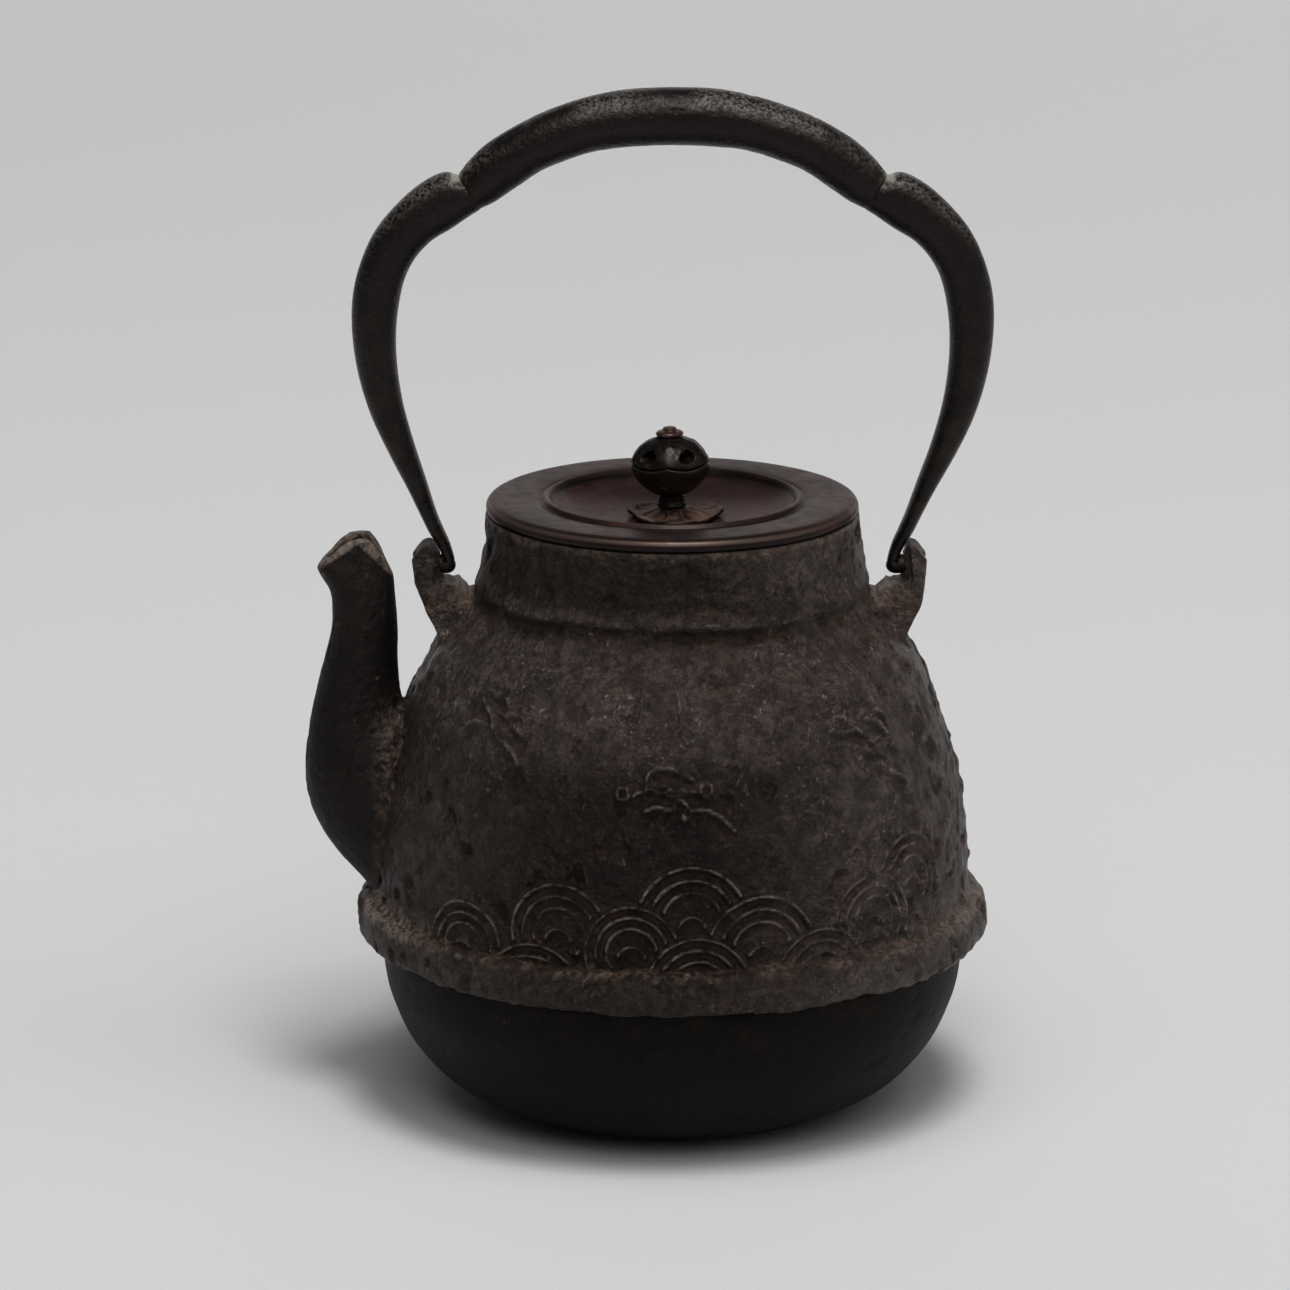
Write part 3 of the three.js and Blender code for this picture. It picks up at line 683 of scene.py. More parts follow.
# ---------------------------------------------------------------- lid
LID = [
    (2.4, LID_TOP_Z), (8.0, LID_TOP_Z + 0.02), (13.2, LID_TOP_Z + 0.1), (20.0, 162.0), (25.5, 162.9),
    (29.0, 164.1), (31.2, 165.5), (32.1, 165.9), (32.7, 166.5), (33.2, 167.2), (33.9, 167.5), (34.6, 167.2),
    (35.1, 166.5), (35.7, 166.3), (36.6, 166.6), (38.5, 166.8), (42.0, 166.9), (46.0, 166.9),
    (48.0, 166.75), (49.2, 166.2), (49.8, 165.3),
    (49.9, 164.5), (49.7, 163.8), (49.2, 163.5), (48.0, 163.5),
]
LID_UNDER = [(44.0, 163.5), (32.4, 163.5), (26.5, 162.0), (20.0, 160.4), (13.2, 159.4), (2.4, 159.4)]


def turned_object(profile, count, height=None):
    angles = np.linspace(-math.pi, math.pi, count, endpoint=False)
    p = turned_points(profile, angles)
    if height is not None:
        p = p + turned_normals(profile, angles) * height(p)[..., None]
    return p


def lid_plate():
    top = curve(LID, 150)[::-1]
    under = np.array(LID_UNDER)[::-1]
    profile = np.vstack([under, top])

    def height(p):
        return -0.10 * fbm(p, 30.0, 2, 301) - 0.03 * fbm(p, 7.0, 2, 303)
    obj = closed_tube("lid_skin", turned_object(profile, 320, height))
    return place(obj, "lid", "lid_bronze", "lid_plate")


def knob_seat():
    """Flower under the knob: eight broad petals on a low dome, slots between them, curled tips."""
    petals, radius, base = 8, 12.7, LID_TOP_Z + 0.3
    turn = whole_turn(384)
    petal = np.abs(np.cos(petals * turn / 2))
    lobe = 1.0 - (1.0 - petal) ** 2.2
    edge = radius * (0.84 + 0.16 * lobe) * (1 + 0.02 * np.sin(2 * turn + 0.6) + 0.015 * np.sin(5 * turn))
    sideways = np.abs(np.cos(turn)) ** 3
    curl = lobe * (0.25 + 1.25 * sideways)
    gap = smooth(0.30, 0.10, petal)
    upper, lower = [], []
    for s in np.linspace(2.45 / radius, 1.0, 44):
        r = np.maximum(edge * s, 2.42)
        dome = 2.55 - 1.75 * smooth(0.26, 0.80, s)
        slot = 0.75 * gap * smooth(0.36, 0.44, s) * smooth(0.80, 0.70, s)
        tip = curl * smooth(0.80, 1.0, s)
        z = base + dome - slot * np.minimum(1.0, dome / 0.9) + 0.18 * lobe * bell(s - 0.72, 0.22) + tip
        upper.append(level_ring(r, turn, z))
        under = base + np.maximum(dome - 1.3, 0.0) * smooth(0.95, 0.8, s) + 0.9 * tip
        lower.append(level_ring(r, turn, under))
    obj = closed_tube("flower_seat", np.stack(upper + lower[::-1]))
    p = points_of(obj)
    p[:, 0] += SEAT_SHIFT
    set_points(obj, p)
    return place(obj, "lid", "seat_copper", "knob_seat")


# ---------------------------------------------------------------- knob
BUD_LOW, BUD_MID, BUD_TOP = 167.6, 176.9, 183.4
OPENINGS = 5
FIRST_OPENING = math.radians(-59.0)


def leaned(obj):
    """The loose knob leans a little: towards -X, about the hole it stands in."""
    p = points_of(obj)
    tilt = math.radians(1.6) * smooth(162.0, 166.0, p[:, 2])
    rise = p[:, 2] - 164.0
    p[:, 2] += p[:, 0] * np.sin(tilt)
    p[:, 0] -= rise * np.sin(tilt) + 0.25 * smooth(162.0, 166.0, p[:, 2])
    set_points(obj, p)
    return obj


def knob_pin():
    profile = curve([(0.02, 156.5), (3.4, 156.7), (3.6, 157.3), (3.5, 157.7), (2.0, 157.8), (2.0, 164.3),
                     (3.8, 164.6), (3.9, 165.1), (3.5, 165.7), (3.35, 166.4), (3.5, 167.2),
                     (0.02, 167.3)], 96)
    obj = leaned(skinned("stem", turned_object(profile, 96)))
    return place(obj, "knob", "knob_bronze", "knob_pin")


def rim_wave(turn):
    """Wavy line where cup and tent meet: it peaks between the openings and dips under them."""
    return 1.0 - 2.0 * np.abs(np.cos(OPENINGS * (turn - FIRST_OPENING) / 2)) ** 0.9


def knob_cup():
    turn = whole_turn(300)
    outer = curve([(2.4, BUD_LOW), (3.8, BUD_LOW + 0.25), (5.9, BUD_LOW + 1.3), (8.1, BUD_LOW + 3.2),
                   (9.8, BUD_LOW + 5.5), (10.45, BUD_MID - 1.7), (10.5, BUD_MID - 0.75)], 56)
    lip = [(10.3, BUD_MID - 0.5), (9.9, BUD_MID - 0.55)]
    inner = curve([(9.2, BUD_MID - 1.0), (8.4, BUD_LOW + 5.2), (5.4, BUD_LOW + 2.9),
                   (1.5, BUD_LOW + 2.4)], 20)
    rings = []
    for r, z in np.vstack([outer, lip, inner]):
        share = smooth(BUD_LOW + 5.0, BUD_MID - 0.9, z)
        rings.append(level_ring(r, turn, z + share * 0.5 * rim_wave(turn)))
    rings = np.stack(rings)
    rings = rings + 0.05 * fbm(rings, 3.0, 2, 391)[..., None] * [1, 1, 0.3]
    obj = leaned(skinned("bud_cup", rings))
    return place(obj, "knob", "knob_bronze", "knob_cup")


def knob_tent():
    turn = whole_turn(300)
    outer = curve([(10.45, BUD_MID), (10.2, BUD_MID + 0.8), (9.3, BUD_MID + 2.5), (6.9, BUD_MID + 4.9),
                   (4.6, BUD_MID + 5.8), (3.7, BUD_TOP - 0.3), (3.4, BUD_TOP)], 60)
    inner = curve([(2.0, BUD_TOP), (2.3, BUD_TOP - 1.6), (3.0, BUD_MID + 3.7), (3.6, BUD_MID + 1.6),
                   (4.0, BUD_MID)], 24)
    rings = []
    for r, z in np.vstack([outer, inner]):
        share = smooth(BUD_MID + 3.0, BUD_MID, z)
        rings.append(level_ring(r, turn, z + share * 0.5 * rim_wave(turn)))
    obj = closed_tube("bud_tent", np.stack(rings))
    for k in range(OPENINGS):
        a = FIRST_OPENING + 2 * math.pi * k / OPENINGS
        t = whole_turn(40)
        across = 2.2 * np.sin(t) * (1 - 0.22 * np.cos(t)) + 0.45 * np.cos(t)
        up = 1.5 * np.cos(t)
        cut = []
        for d in (4.8, 12.5):
            grow = 1.0 + 0.06 * (d - 8)
            lift = BUD_MID + 2.7 + up * grow + 0.12 * (8 - d)
            cut.append(np.stack([d * math.cos(a) - across * grow * math.sin(a),
                                 d * math.sin(a) + across * grow * math.cos(a), lift], -1))
        cut_away(obj, skinned("opening", np.stack(cut), flip=True))
    remeshed(obj, TENT_VOXEL)
    p = neighbours_smoothed(obj, points_of(obj), 4)
    set_points(obj, p)
    a = np.arctan2(p[:, 1], p[:, 0])
    rib = np.abs(np.sin(OPENINGS * (a - FIRST_OPENING) / 2)) ** 8
    p = p + normals_of(obj) * (0.10 + 0.18 * rib + 0.10 * fbm(p, 2.2, 2, 401))[:, None]
    set_points(obj, p)
    leaned(obj)
    return place(obj, "knob", "knob_bronze", "knob_tent")


def knob_finial():
    z0 = BUD_TOP + 0.3
    profile = curve([(0.02, z0), (3.0, z0), (3.6, z0 + 0.35), (3.65, z0 + 0.8), (3.1, z0 + 1.3),
                     (2.0, z0 + 1.5), (1.75, z0 + 1.7), (1.8, z0 + 2.05), (1.4, z0 + 2.35),
                     (0.02, z0 + 2.45)], 70)
    obj = leaned(skinned("button", turned_object(profile, 96)))
    return place(obj, "knob", "finial_copper", "knob_finial")


# ---------------------------------------------------------------- materials
class Nodes:
    """Small helper that adds shader nodes and links to one material."""

    def __init__(self, name):
        self.mat = bpy.data.materials.new(name)
        self.mat.use_nodes = True
        self.tree = self.mat.node_tree
        self.shader = self.tree.nodes["Principled BSDF"]
        coords = self.coords = self.tree.nodes.new("ShaderNodeTexCoord")
        scale = self.tree.nodes.new("ShaderNodeVectorMath")
        scale.operation = "SCALE"
        scale.inputs["Scale"].default_value = 1000.0
        self.tree.links.new(coords.outputs["Object"], scale.inputs[0])
        self.mm = scale.outputs[0]

    def link(self, a, b):
        self.tree.links.new(a, b)

    def noise(self, size, detail=3.0, rough=0.55, stretch=None):
        vector = self.mm
        if stretch:
            mapping = self.tree.nodes.new("ShaderNodeMapping")
            mapping.inputs["Scale"].default_value = stretch
            self.link(self.mm, mapping.inputs["Vector"])
            vector = mapping.outputs[0]
        node = self.tree.nodes.new("ShaderNodeTexNoise")
        node.inputs["Scale"].default_value = 1.0 / size
        node.inputs["Detail"].default_value = detail
        node.inputs["Roughness"].default_value = rough
        self.link(vector, node.inputs["Vector"])
        return node.outputs["Fac"]

    def cells(self, size):
        node = self.tree.nodes.new("ShaderNodeTexVoronoi")
        node.inputs["Scale"].default_value = 1.0 / size
        self.link(self.mm, node.inputs["Vector"])
        return node.outputs["Distance"]

    def band(self, value, low, high):
        node = self.tree.nodes.new("ShaderNodeMapRange")
        node.interpolation_type = "SMOOTHSTEP"
        node.inputs["From Min"].default_value = low
        node.inputs["From Max"].default_value = high
        self.link(value, node.inputs["Value"])
        return node.outputs[0]

    def cloud(self, low, high, *noise):
        """Patches where a noise of the given size, detail and roughness goes past the limits."""
        return self.band(self.noise(*noise), low, high)

    def math(self, operation, a, b=0.0):
        node = self.tree.nodes.new("ShaderNodeMath")
        node.operation = operation
        for k, v in enumerate((a, b)):
            if isinstance(v, (int, float)):
                node.inputs[k].default_value = v
            else:
                self.link(v, node.inputs[k])
        return node.outputs[0]

    def times(self, a, b):
        return self.math("MULTIPLY", a, b)

    def most(self, a, b):
        return self.math("MAXIMUM", a, b)

    def zone(self, value, rise, fall):
        """One between the two pairs of limits, fading to nothing across each pair."""
        return self.times(self.band(value, *rise), self.band(value, *fall))

    def axes(self, vector=None):
        """X, Y and Z of a vector, or else of the place in mm."""
        node = self.tree.nodes.new("ShaderNodeSeparateXYZ")
        self.link(self.mm if vector is None else vector, node.inputs[0])
        return node.outputs

    def start(self, mask, dark, light):
        self.colour = self.mix(mask, dark, light)

    def paint(self, mask, amount, tint):
        self.colour = self.mix(self.times(mask, amount), self.colour, tint)

    def edges(self):
        """Pointiness: above a half on ridges and corners, below it in hollows."""
        return self.tree.nodes.new("ShaderNodeNewGeometry").outputs["Pointiness"]

    def mix(self, factor, a, b):
        node = self.tree.nodes.new("ShaderNodeMix")
        node.data_type = "RGBA"
        self.link(factor, node.inputs["Factor"])
        for k, v in ((6, a), (7, b)):
            if isinstance(v, tuple):
                node.inputs[k].default_value = (*v, 1.0)
            else:
                self.link(v, node.inputs[k])
        return node.outputs[2]

    def blend_value(self, factor, low, high):
        node = self.tree.nodes.new("ShaderNodeMapRange")
        node.inputs["To Min"].default_value = low
        node.inputs["To Max"].default_value = high
        self.link(factor, node.inputs["Value"])
        return node.outputs[0]

    def bump(self, heights):
        """Bump from (value, depth in mm) pairs."""
        total = None
        for value, depth in heights:
            part = self.times(value, depth)
            total = part if total is None else self.math("ADD", total, part)
        node = self.tree.nodes.new("ShaderNodeBump")
        node.inputs["Strength"].default_value = 1.0
        node.inputs["Distance"].default_value = MM
        self.link(total, node.inputs["Height"])
        self.link(node.outputs[0], self.shader.inputs["Normal"])

    def finish(self, roughness, metallic=0.0, specular=0.5):
        self.link(self.colour, self.shader.inputs["Base Color"])
        self.link(roughness, self.shader.inputs["Roughness"])
        self.shader.inputs["Metallic"].default_value = metallic
        self.shader.inputs["Specular Tint"].default_value = (1.0, 0.90, 0.85, 1.0)
        if specular is not None:
            self.shader.inputs["Specular IOR Level"].default_value = specular
        return self.mat


def rough_iron():
    n = Nodes("rough_iron")
    x, _, z = n.axes()
    out = n.math("ABSOLUTE", x)
    wander = n.times(n.math("SUBTRACT", n.noise(5.0, 4.0, 0.6), 0.5), 4.5)
    level = n.math("ADD", z, wander)
    broad = n.cloud(0.40, 0.60, 20.0, 4.0, 0.6)
    patch = n.cloud(0.43, 0.60, 6.0, 5.0, 0.65)
    grain = n.cloud(0.42, 0.60, 2.2, 4.0, 0.7)
    fine = n.cloud(0.42, 0.62, 1.1, 3.0, 0.65)
    n.start(broad, (0.0100, 0.0092, 0.0082), (0.0270, 0.0178, 0.0157))
    # The shoulder and the side away from the spout, and less so the lugs, the neck ridge and the spout side,
    # are painted lighter than the rest: painted light where the lamps above and on the right fall. These
    # zones are also glossier.
    shoulder = n.zone(level, (100.0, 122.0), (142.0, 136.0))
    far_side = n.times(n.band(x, 8.0, 58.0), 0.82)
    by_side = n.blend_value(n.band(x, -20.0, 20.0), 0.45, 1.0)
    lugs = n.times(n.band(out, 57.0, 60.0), n.times(n.band(z, 130.0, 138.0), by_side))
    near_side = n.times(n.band(x, -26.0, -66.0), 0.34)
    ridge = n.zone(level, (142.6, 144.2), (148.2, 145.8))
    lit_and_bare = n.most(n.most(shoulder, far_side), lugs)
    lit_and_bare = n.most(lit_and_bare, n.most(near_side, n.times(ridge, 0.6)))
    # Painted light: the lit zones are coloured lighter in patches.
    lit_and_scrubbed = n.times(lit_and_bare, n.blend_value(patch, 0.45, 1.0))
    n.paint(lit_and_scrubbed, 0.95, (0.106, 0.075, 0.065))
    # Painted light on the neck wall, strongest towards +X where the right-hand lamp falls.
    lit_neck_wall = n.times(n.band(z, 145.0, 150.0), n.blend_value(n.band(x, 0.0, 32.0), 0.22, 0.85))
    n.paint(lit_neck_wall, n.blend_value(patch, 0.4, 1.0), (0.134, 0.102, 0.089))
    skirt = n.band(level, 58.0, 56.6)
    n.paint(skirt, 0.75, (0.066, 0.050, 0.043))
    n.paint(patch, 0.30, (0.060, 0.039, 0.032))
    n.paint(grain, 0.58, (0.0042, 0.0038, 0.0033))
    n.paint(fine, 0.20, (0.0040, 0.0034, 0.0030))
    rust = n.times(n.cloud(0.46, 0.62, 11.0, 3.0), n.cloud(0.53, 0.64, 2.0, 4.0, 0.7))
    n.paint(rust, 0.6, (0.105, 0.062, 0.040))
    # Rust dust lies on the flange's crease, round the roots of spout and lugs, and under the lid.
    crease = n.zone(level, (56.6, 57.6), (60.0, 58.4))
    neck = n.times(n.band(level, 160.2, 162.4), 0.9)
    foot = n.times(n.band(out, 50.0, 56.0), n.band(level, 146.0, 141.5))
    foot = n.times(foot, n.band(level, 130.0, 136.0))
    under_ridge = n.zone(level, (137.0, 140.5), (143.6, 141.0))
    dust = n.most(crease, n.most(neck, foot))
    dust = n.most(dust, n.times(under_ridge, 0.35))
    dust = n.times(dust, n.blend_value(n.cloud(0.42, 0.58, 9.0, 4.0, 0.6), 0.15, 1.0))
    grains = n.cloud(0.38, 0.64, 1.7, 6.0, 0.72)
    n.paint(n.times(dust, grains), 0.85, (0.19, 0.132, 0.098))
    sides = n.times(n.band(out, 56.0, 78.0), n.zone(level, (54.5, 57.0), (64.0, 59.5)))
    sides = n.times(sides, n.blend_value(n.band(x, -20.0, 20.0), 1.0, 0.55))
    n.paint(n.times(sides, grains), 0.95, (0.34, 0.265, 0.22))
    web = n.zone(out, (60.0, 56.5), (53.5, 54.8))
    web = n.times(web, n.times(n.band(z, 136.0, 140.0), n.blend_value(grains, 0.4, 1.0)))
    n.paint(web, 0.8, (0.30, 0.22, 0.17))
    hollows = n.band(n.edges(), 0.482, 0.440)
    n.paint(hollows, 0.55, (0.105, 0.064, 0.040))
    off_neck = n.math("SUBTRACT", 1.0, n.times(n.band(z, 139.0, 142.0), n.band(out, 54.0, 50.0)))
    # Ridges and edges are painted lighter: wear on the cast work, and a painted highlight on the upper edges
    # that light from above catches.
    worn = n.times(n.band(n.edges(), 0.52, 0.58), n.cloud(0.36, 0.56, 3.0, 4.0, 0.65))
    worn = n.times(worn, n.blend_value(off_neck, 0.25, 1.0))
    n.paint(worn, 0.85, (0.21, 0.178, 0.155))
    flecks = n.times(n.cloud(0.67, 0.71, 3.4, 4.0, 0.6), n.cloud(0.44, 0.52, 21.0, 2.0))
    n.paint(flecks, 0.6, (0.24, 0.165, 0.115))
    glints = n.times(n.cloud(0.58, 0.68, 1.3, 3.0, 0.7), n.cloud(0.44, 0.60, 14.0, 3.0))
    glints = n.times(glints, n.blend_value(lit_and_bare, 0.15, 1.0))
    n.paint(glints, 0.75, (0.36, 0.32, 0.30))
    shine = n.most(lit_and_scrubbed, n.times(worn, 0.8))
    rough = n.blend_value(shine, 0.45, 0.24)
    n.bump([(n.noise(2.6, 6.0, 0.66), 2.3), (n.noise(0.9, 3.0, 0.6), 0.45),
            (n.noise(4.6, 4.0, 0.6, stretch=(1.0, 1.0, 0.75)), 1.1), (n.band(n.cells(4.3), 0.0, 0.3), 0.35)])
    n.link(n.blend_value(shine, 0.32, 1.25), n.shader.inputs["Specular IOR Level"])
    return n.finish(rough, 0.0, None)


def bowl_iron():
    n = Nodes("bowl_iron")
    broad = n.cloud(0.35, 0.68, 20.0, 3.0)
    fine = n.cloud(0.4, 0.7, 1.6, 4.0, 0.6)
    n.start(broad, (0.0070, 0.0068, 0.0066), (0.0108, 0.0104, 0.0098))
    n.paint(fine, 0.4, (0.0175, 0.0160, 0.0145))
    _, _, z = n.axes()
    near_top = n.band(z, 24.0, 46.0)
    brown = n.times(n.cloud(0.47, 0.66, 7.0, 4.0, 0.65), near_top)
    n.paint(brown, 0.55, (0.0252, 0.0162, 0.012))
    spots = n.times(n.cloud(0.60, 0.68, 18.0, 2.0), n.cloud(0.60, 0.70, 2.4, 4.0, 0.7))
    n.paint(spots, 0.6, (0.096, 0.051, 0.03))
    rough = n.blend_value(n.noise(3.0, 3.0), 0.42, 0.58)
    n.bump([(n.noise(2.4, 4.0, 0.6), 0.07), (n.noise(0.6, 3.0, 0.6), 0.05)])
    return n.finish(rough, 0.0, 0.14)


def spout_iron():
    n = Nodes("spout_iron")
    broad = n.cloud(0.36, 0.66, 18.0, 3.0)
    fine = n.cloud(0.38, 0.7, 1.5, 4.0, 0.65)
    n.start(broad, (0.0066, 0.0056, 0.0050), (0.0145, 0.0118, 0.0104))
    n.paint(fine, 0.4, (0.024, 0.019, 0.016))
    flecks = n.cloud(0.68, 0.71, 3.0, 3.0, 0.6)
    n.paint(flecks, 0.6, (0.16, 0.11, 0.075))
    x, _, z = n.axes()
    # The lip's edge falls away from its top both towards the beak and towards the body.
    to_beak = n.times(n.most(n.math("SUBTRACT", -84.0, x), 0.0), 0.69)
    to_body = n.times(n.most(n.math("SUBTRACT", x, -84.0), 0.0), 1.1)
    below_lip = n.math("SUBTRACT", n.math("SUBTRACT", 155.8, n.math("ADD", to_beak, to_body)), z)
    chips = n.blend_value(n.cloud(0.38, 0.6, 1.8, 5.0, 0.7), 0.25, 1.0)
    # The lip's edge is painted lighter in chips: wear, and a painted highlight where light from above
    # catches the rim.
    worn_and_lit_lip = n.times(n.band(below_lip, 1.0, -0.3), chips)
    pale = n.times(n.band(z, 140.0, 150.0), n.cloud(0.40, 0.62, 3.2, 5.0, 0.7))
    n.paint(pale, 0.35, (0.075, 0.058, 0.050))
    n.paint(worn_and_lit_lip, 0.9, (0.29, 0.235, 0.20))
    root = n.times(n.band(x, -82.5, -77.0), n.band(z, 118.0, 106.0))
    seam = n.times(root, n.cloud(0.42, 0.62, 2.2, 5.0, 0.72))
    n.paint(seam, 0.6, (0.16, 0.108, 0.080))
    worn = n.band(n.edges(), 0.53, 0.62)
    n.paint(worn, 0.6, (0.20, 0.165, 0.14))
    rough = n.blend_value(broad, 0.46, 0.58)
    n.bump([(n.noise(2.0, 5.0, 0.62), 0.7), (n.noise(0.6, 3.0, 0.6), 0.22),
            (n.band(n.cells(4.0), 0.0, 0.3), 0.2)])
    return n.finish(rough, 0.0, 0.32)


def wrought_iron():
    n = Nodes("wrought_iron")
    broad = n.cloud(0.36, 0.66, 14.0, 3.0)
    n.start(broad, (0.0030, 0.0024, 0.0021), (0.0062, 0.0046, 0.0040))
    fine = n.cloud(0.42, 0.7, 1.1, 4.0, 0.65)
    n.paint(fine, 0.4, (0.018, 0.015, 0.013))
    x, _, z = n.axes()
    low = n.times(n.band(z, 240.0, 165.0), n.cloud(0.42, 0.62, 6.0, 3.0))
    n.paint(low, 0.4, (0.040, 0.030, 0.025))
    worn = n.band(n.edges(), 0.54, 0.64)
    n.paint(worn, 0.4, (0.10, 0.088, 0.08))
    # The upper side is painted lighter in grains: a painted highlight from the lamps above.
    _, _, facing_up = n.axes(n.coords.outputs["Normal"])
    upper = n.times(n.band(facing_up, 0.20, 0.70), n.cloud(0.32, 0.58, 16.0, 2.0))
    painted_highlight = n.times(upper, n.cloud(0.42, 0.60, 1.0, 4.0, 0.7))
    n.paint(painted_highlight, 0.85, (0.19, 0.168, 0.152))
    # A pale spot is painted in the notches where the grip meets the arms.
    out = n.math("ABSOLUTE", x)
    notch = n.zone(out, (55.6, 56.8), (59.4, 58.0))
    notch = n.times(notch, n.band(z, 253.0, 254.0))
    n.paint(notch, 0.8, (0.45, 0.42, 0.37))
    rough = n.blend_value(n.noise(2.5, 4.0, 0.6), 0.20, 0.34)
    n.bump([(n.noise(1.3, 5.0, 0.65), 0.30), (n.noise(0.7, 3.0, 0.6), 0.20), (n.noise(6.0, 2.0), 0.35)])
    return n.finish(rough, 0.0, 0.45)


def lid_bronze():
    n = Nodes("lid_bronze")
    broad = n.cloud(0.38, 0.62, 16.0, 4.0, 0.6)
    n.start(broad, (0.036, 0.0175, 0.0155), (0.088, 0.041, 0.037))
    stain = n.times(n.cloud(0.45, 0.58, 8.0, 5.0, 0.65), 0.85)
    n.paint(stain, 1.0, (0.022, 0.0165, 0.0145))
    fine = n.cloud(0.45, 0.68, 1.8, 4.0, 0.65)
    n.paint(fine, 0.4, (0.018, 0.0115, 0.010))
    x, y, z = n.axes()
    radius = n.math("SQRT", n.math("ADD", n.times(x, x), n.times(y, y)))
    dish = n.band(radius, 31.5, 29.0)
    n.paint(dish, 0.4, (0.125, 0.076, 0.070))
    shaded = n.times(n.band(x, -8.0, -40.0), n.band(radius, 35.0, 37.0))
    n.paint(shaded, 0.4, (0.030, 0.020, 0.018))
    # Painted shade: dark lines in the creases on both sides of the bead.
    inner_shade_line = n.zone(radius, (31.2, 32.0), (33.1, 32.5))
    outer_shade_line = n.zone(radius, (34.9, 35.4), (36.6, 35.8))
    lines = n.most(inner_shade_line, n.times(outer_shade_line, 0.7))
    n.paint(lines, 0.85, (0.008, 0.0055, 0.005))
    # Painted highlights on the bead's crest and along the rim's upper corner.
    crest = n.zone(radius, (33.0, 33.6), (34.7, 34.2))
    rim = n.times(n.band(radius, 48.7, 49.3), n.band(z, 165.0, 165.7))
    rim = n.times(rim, n.band(z, 166.7, 166.2))
    painted_highlight = n.most(n.times(crest, n.blend_value(n.noise(6.0, 3.0), 0.3, 1.0)), rim)
    n.paint(painted_highlight, 0.5, (0.17, 0.125, 0.105))
    # Painted shade below the rim's highlight.
    under_rim_shade = n.times(n.band(radius, 48.9, 49.3), n.band(z, 165.4, 164.8))
    n.paint(under_rim_shade, 0.8, (0.012, 0.008, 0.007))
    rough = n.blend_value(n.noise(4.0, 4.0, 0.6), 0.27, 0.46)
    n.bump([(n.noise(3.2, 4.0, 0.6), 0.06), (n.noise(0.7, 2.0, 0.5), 0.022)])
    return n.finish(rough, 0.3, 0.42)


def small_metal(name, patches, tones, edge, worn, roughness, grains, metallic, specular, hollow_shade=0.0):
    """A cast metal of two tones in patches, worn bright on its edges, with painted shade in its hollows."""
    n = Nodes(name)
    size, low, high = patches
    patch = n.cloud(low, high, size, 4.0, 0.6)
    n.start(patch, *tones)
    amount, tint = worn
    n.paint(n.band(n.edges(), *edge), amount, tint)
    if hollow_shade:
        # Painted shade darkening the hollows.
        n.paint(n.band(n.edges(), 0.48, 0.42), hollow_shade, (0.008, 0.006, 0.005))
    n.bump([(n.noise(*grain), depth) for grain, depth in grains])
    return n.finish(n.blend_value(patch, *roughness), metallic, specular)


def seat_copper():
    return small_metal("seat_copper", (3.0, 0.38, 0.66), ((0.08, 0.050, 0.039), (0.21, 0.128, 0.092)),
                       (0.50, 0.60), (0.6, (0.36, 0.26, 0.19)), (0.38, 0.52), [((0.9, 4.0, 0.6), 0.06)],
                       0.5, 0.5, hollow_shade=0.7)


def knob_bronze():
    return small_metal("knob_bronze", (3.2, 0.36, 0.66), ((0.010, 0.0085, 0.0075), (0.019, 0.0145, 0.012)),
                       (0.53, 0.62), (0.8, (0.22, 0.165, 0.125)), (0.30, 0.46),
                       [((1.2, 4.0, 0.6), 0.06), ((0.4, 2.0, 0.5), 0.02)], 0.35, 0.55)


def finial_copper():
    return small_metal("finial_copper", (1.8, 0.38, 0.64), ((0.07, 0.040, 0.032), (0.13, 0.080, 0.064)),
                       (0.53, 0.62), (0.5, (0.26, 0.19, 0.155)), (0.26, 0.40), [((0.8, 3.0, 0.6), 0.05)],
                       0.35, 0.5)


def dress(obj, mat):
    obj.data.materials.clear()
    obj.data.materials.append(mat)


MATERIALS = {recipe.__name__: recipe() for recipe in (
    rough_iron, bowl_iron, spout_iron, wrought_iron, lid_bronze, seat_copper, knob_bronze, finial_copper)}
PIECES = [
    upper_body(), base_bowl(), spout(),
    lug("lug_spout_side", "spout_side_lug", -1, 161), lug("lug_far_side", "far_side_lug", 1, 171),
    bail_grip(), bail_arm("bail_arm_spout_side", -1), bail_arm("bail_arm_far_side", 1),
    lid_plate(), knob_seat(), knob_pin(), knob_cup(), knob_tent(), knob_finial(),
]
HIDDEN_PIECES = [(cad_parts["lid_collar"], "lid_bronze"), (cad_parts["knob_washer"], "seat_copper")]
for piece, metal in PIECES + HIDDEN_PIECES:
    dress(piece, MATERIALS[metal])


# ---------------------------------------------------------------- floor, light and camera
def turn_to(obj, direction):
    """Turns a light or a camera to look along a direction."""
    obj.rotation_mode = "QUATERNION"
    obj.rotation_quaternion = direction.to_track_quat("-Z", "Y")


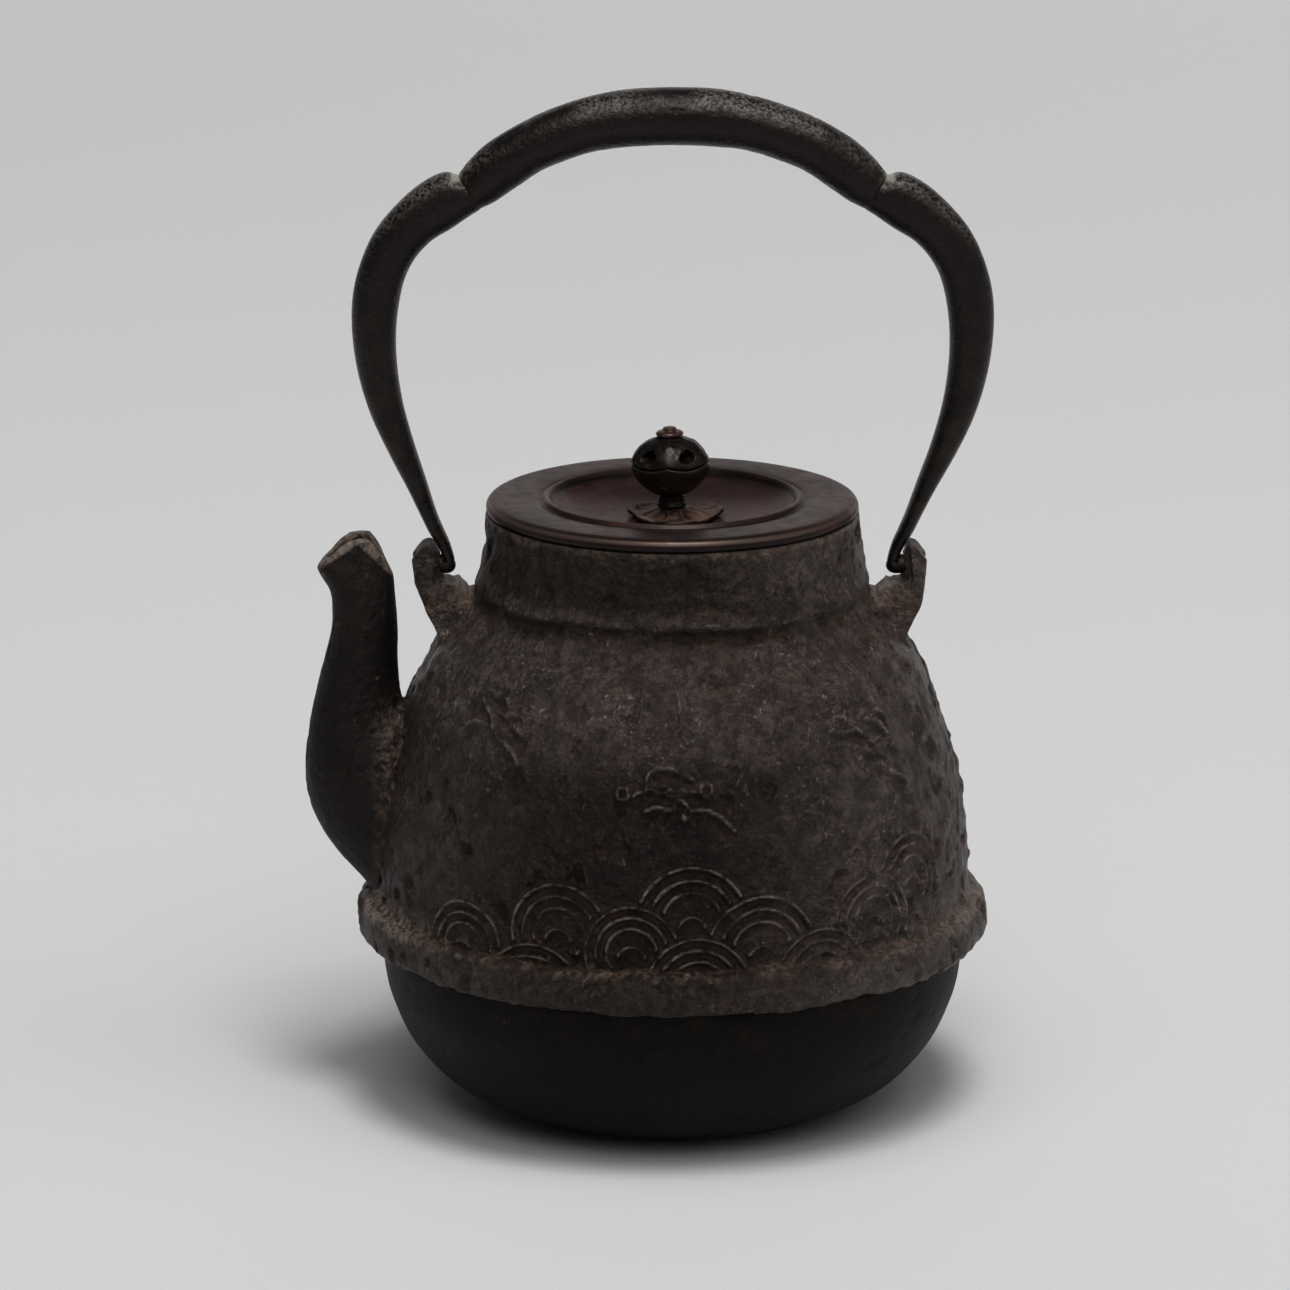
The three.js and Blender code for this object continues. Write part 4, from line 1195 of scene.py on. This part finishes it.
def studio():
    scene = bpy.context.scene
    scene.view_settings.view_transform = "Standard"
    scene.view_settings.gamma = 0.8
    half = 9.0
    corners = [(-half, -half, 0), (half, -half, 0), (half, half, 0), (-half, half, 0)]
    mesh = bpy.data.meshes.new("floor")
    mesh.from_pydata(corners, [], [(0, 1, 2, 3)])
    floor = linked("floor", mesh)
    paper = Nodes("paper")
    x, y, _ = paper.axes()
    # Painted light: the floor is coloured lighter towards the camera and towards +X.
    depth = paper.blend_value(paper.band(y, -300.0, 2000.0), 1.0, 0.0)
    side = paper.times(x, 0.00022)
    paper.start(paper.math("ADD", depth, side), (0.60, 0.60, 0.60), (0.76, 0.76, 0.76))
    paper.finish(paper.blend_value(paper.noise(30.0, 2.0), 0.85, 0.95), 0.0, 0.2)
    dress(floor, paper.mat)

    world = bpy.data.worlds.new("studio")
    scene.world = world
    world.use_nodes = True
    world.node_tree.nodes["Background"].inputs["Color"].default_value = (1.0, 1.0, 1.0, 1.0)
    world.node_tree.nodes["Background"].inputs["Strength"].default_value = 0.12

    def softbox(name, place_at, aim, size, power):
        data = bpy.data.lights.new(name, "AREA")
        data.shape = "RECTANGLE"
        data.size, data.size_y = size
        data.energy = power
        lamp = linked(name, data)
        lamp.location = place_at
        turn_to(lamp, Vector(aim) - Vector(place_at))

    def far_light(name, azimuth, elevation, width, power):
        """A distant soft source: azimuth from -Y towards +X and elevation, both in degrees."""
        data = bpy.data.lights.new(name, "SUN")
        data.energy = power
        data.angle = math.radians(width)
        az, el = math.radians(azimuth), math.radians(elevation)
        towards = Vector((math.sin(az) * math.cos(el), -math.cos(az) * math.cos(el), math.sin(el)))
        turn_to(linked(name, data), -towards)

    far_light("front_key", 6.0, 42.0, 34.0, 0.48)
    far_light("overhead", 2.0, 70.0, 56.0, 0.86)
    far_light("overhead_core", 16.0, 72.0, 18.0, 1.3)
    far_light("right_fill", 70.0, 28.0, 50.0, 0.36)
    softbox("back_glow", (0.0, 3.2, 0.9), (0.0, 0.0, 0.2), (4.0, 1.4), 11.0)

    camera = bpy.data.cameras.new("camera")
    camera.sensor_width = 36.0
    camera.lens = 207.35
    camera.clip_end = 50.0
    cam = linked("camera", camera)
    pitch, distance = math.radians(14.54), 2.0
    target = Vector((-0.0074, 0.0, 0.1259))
    back = Vector((0.0, -math.cos(pitch), math.sin(pitch)))
    cam.location = target + back * distance
    turn_to(cam, -back)
    scene.camera = cam


studio()
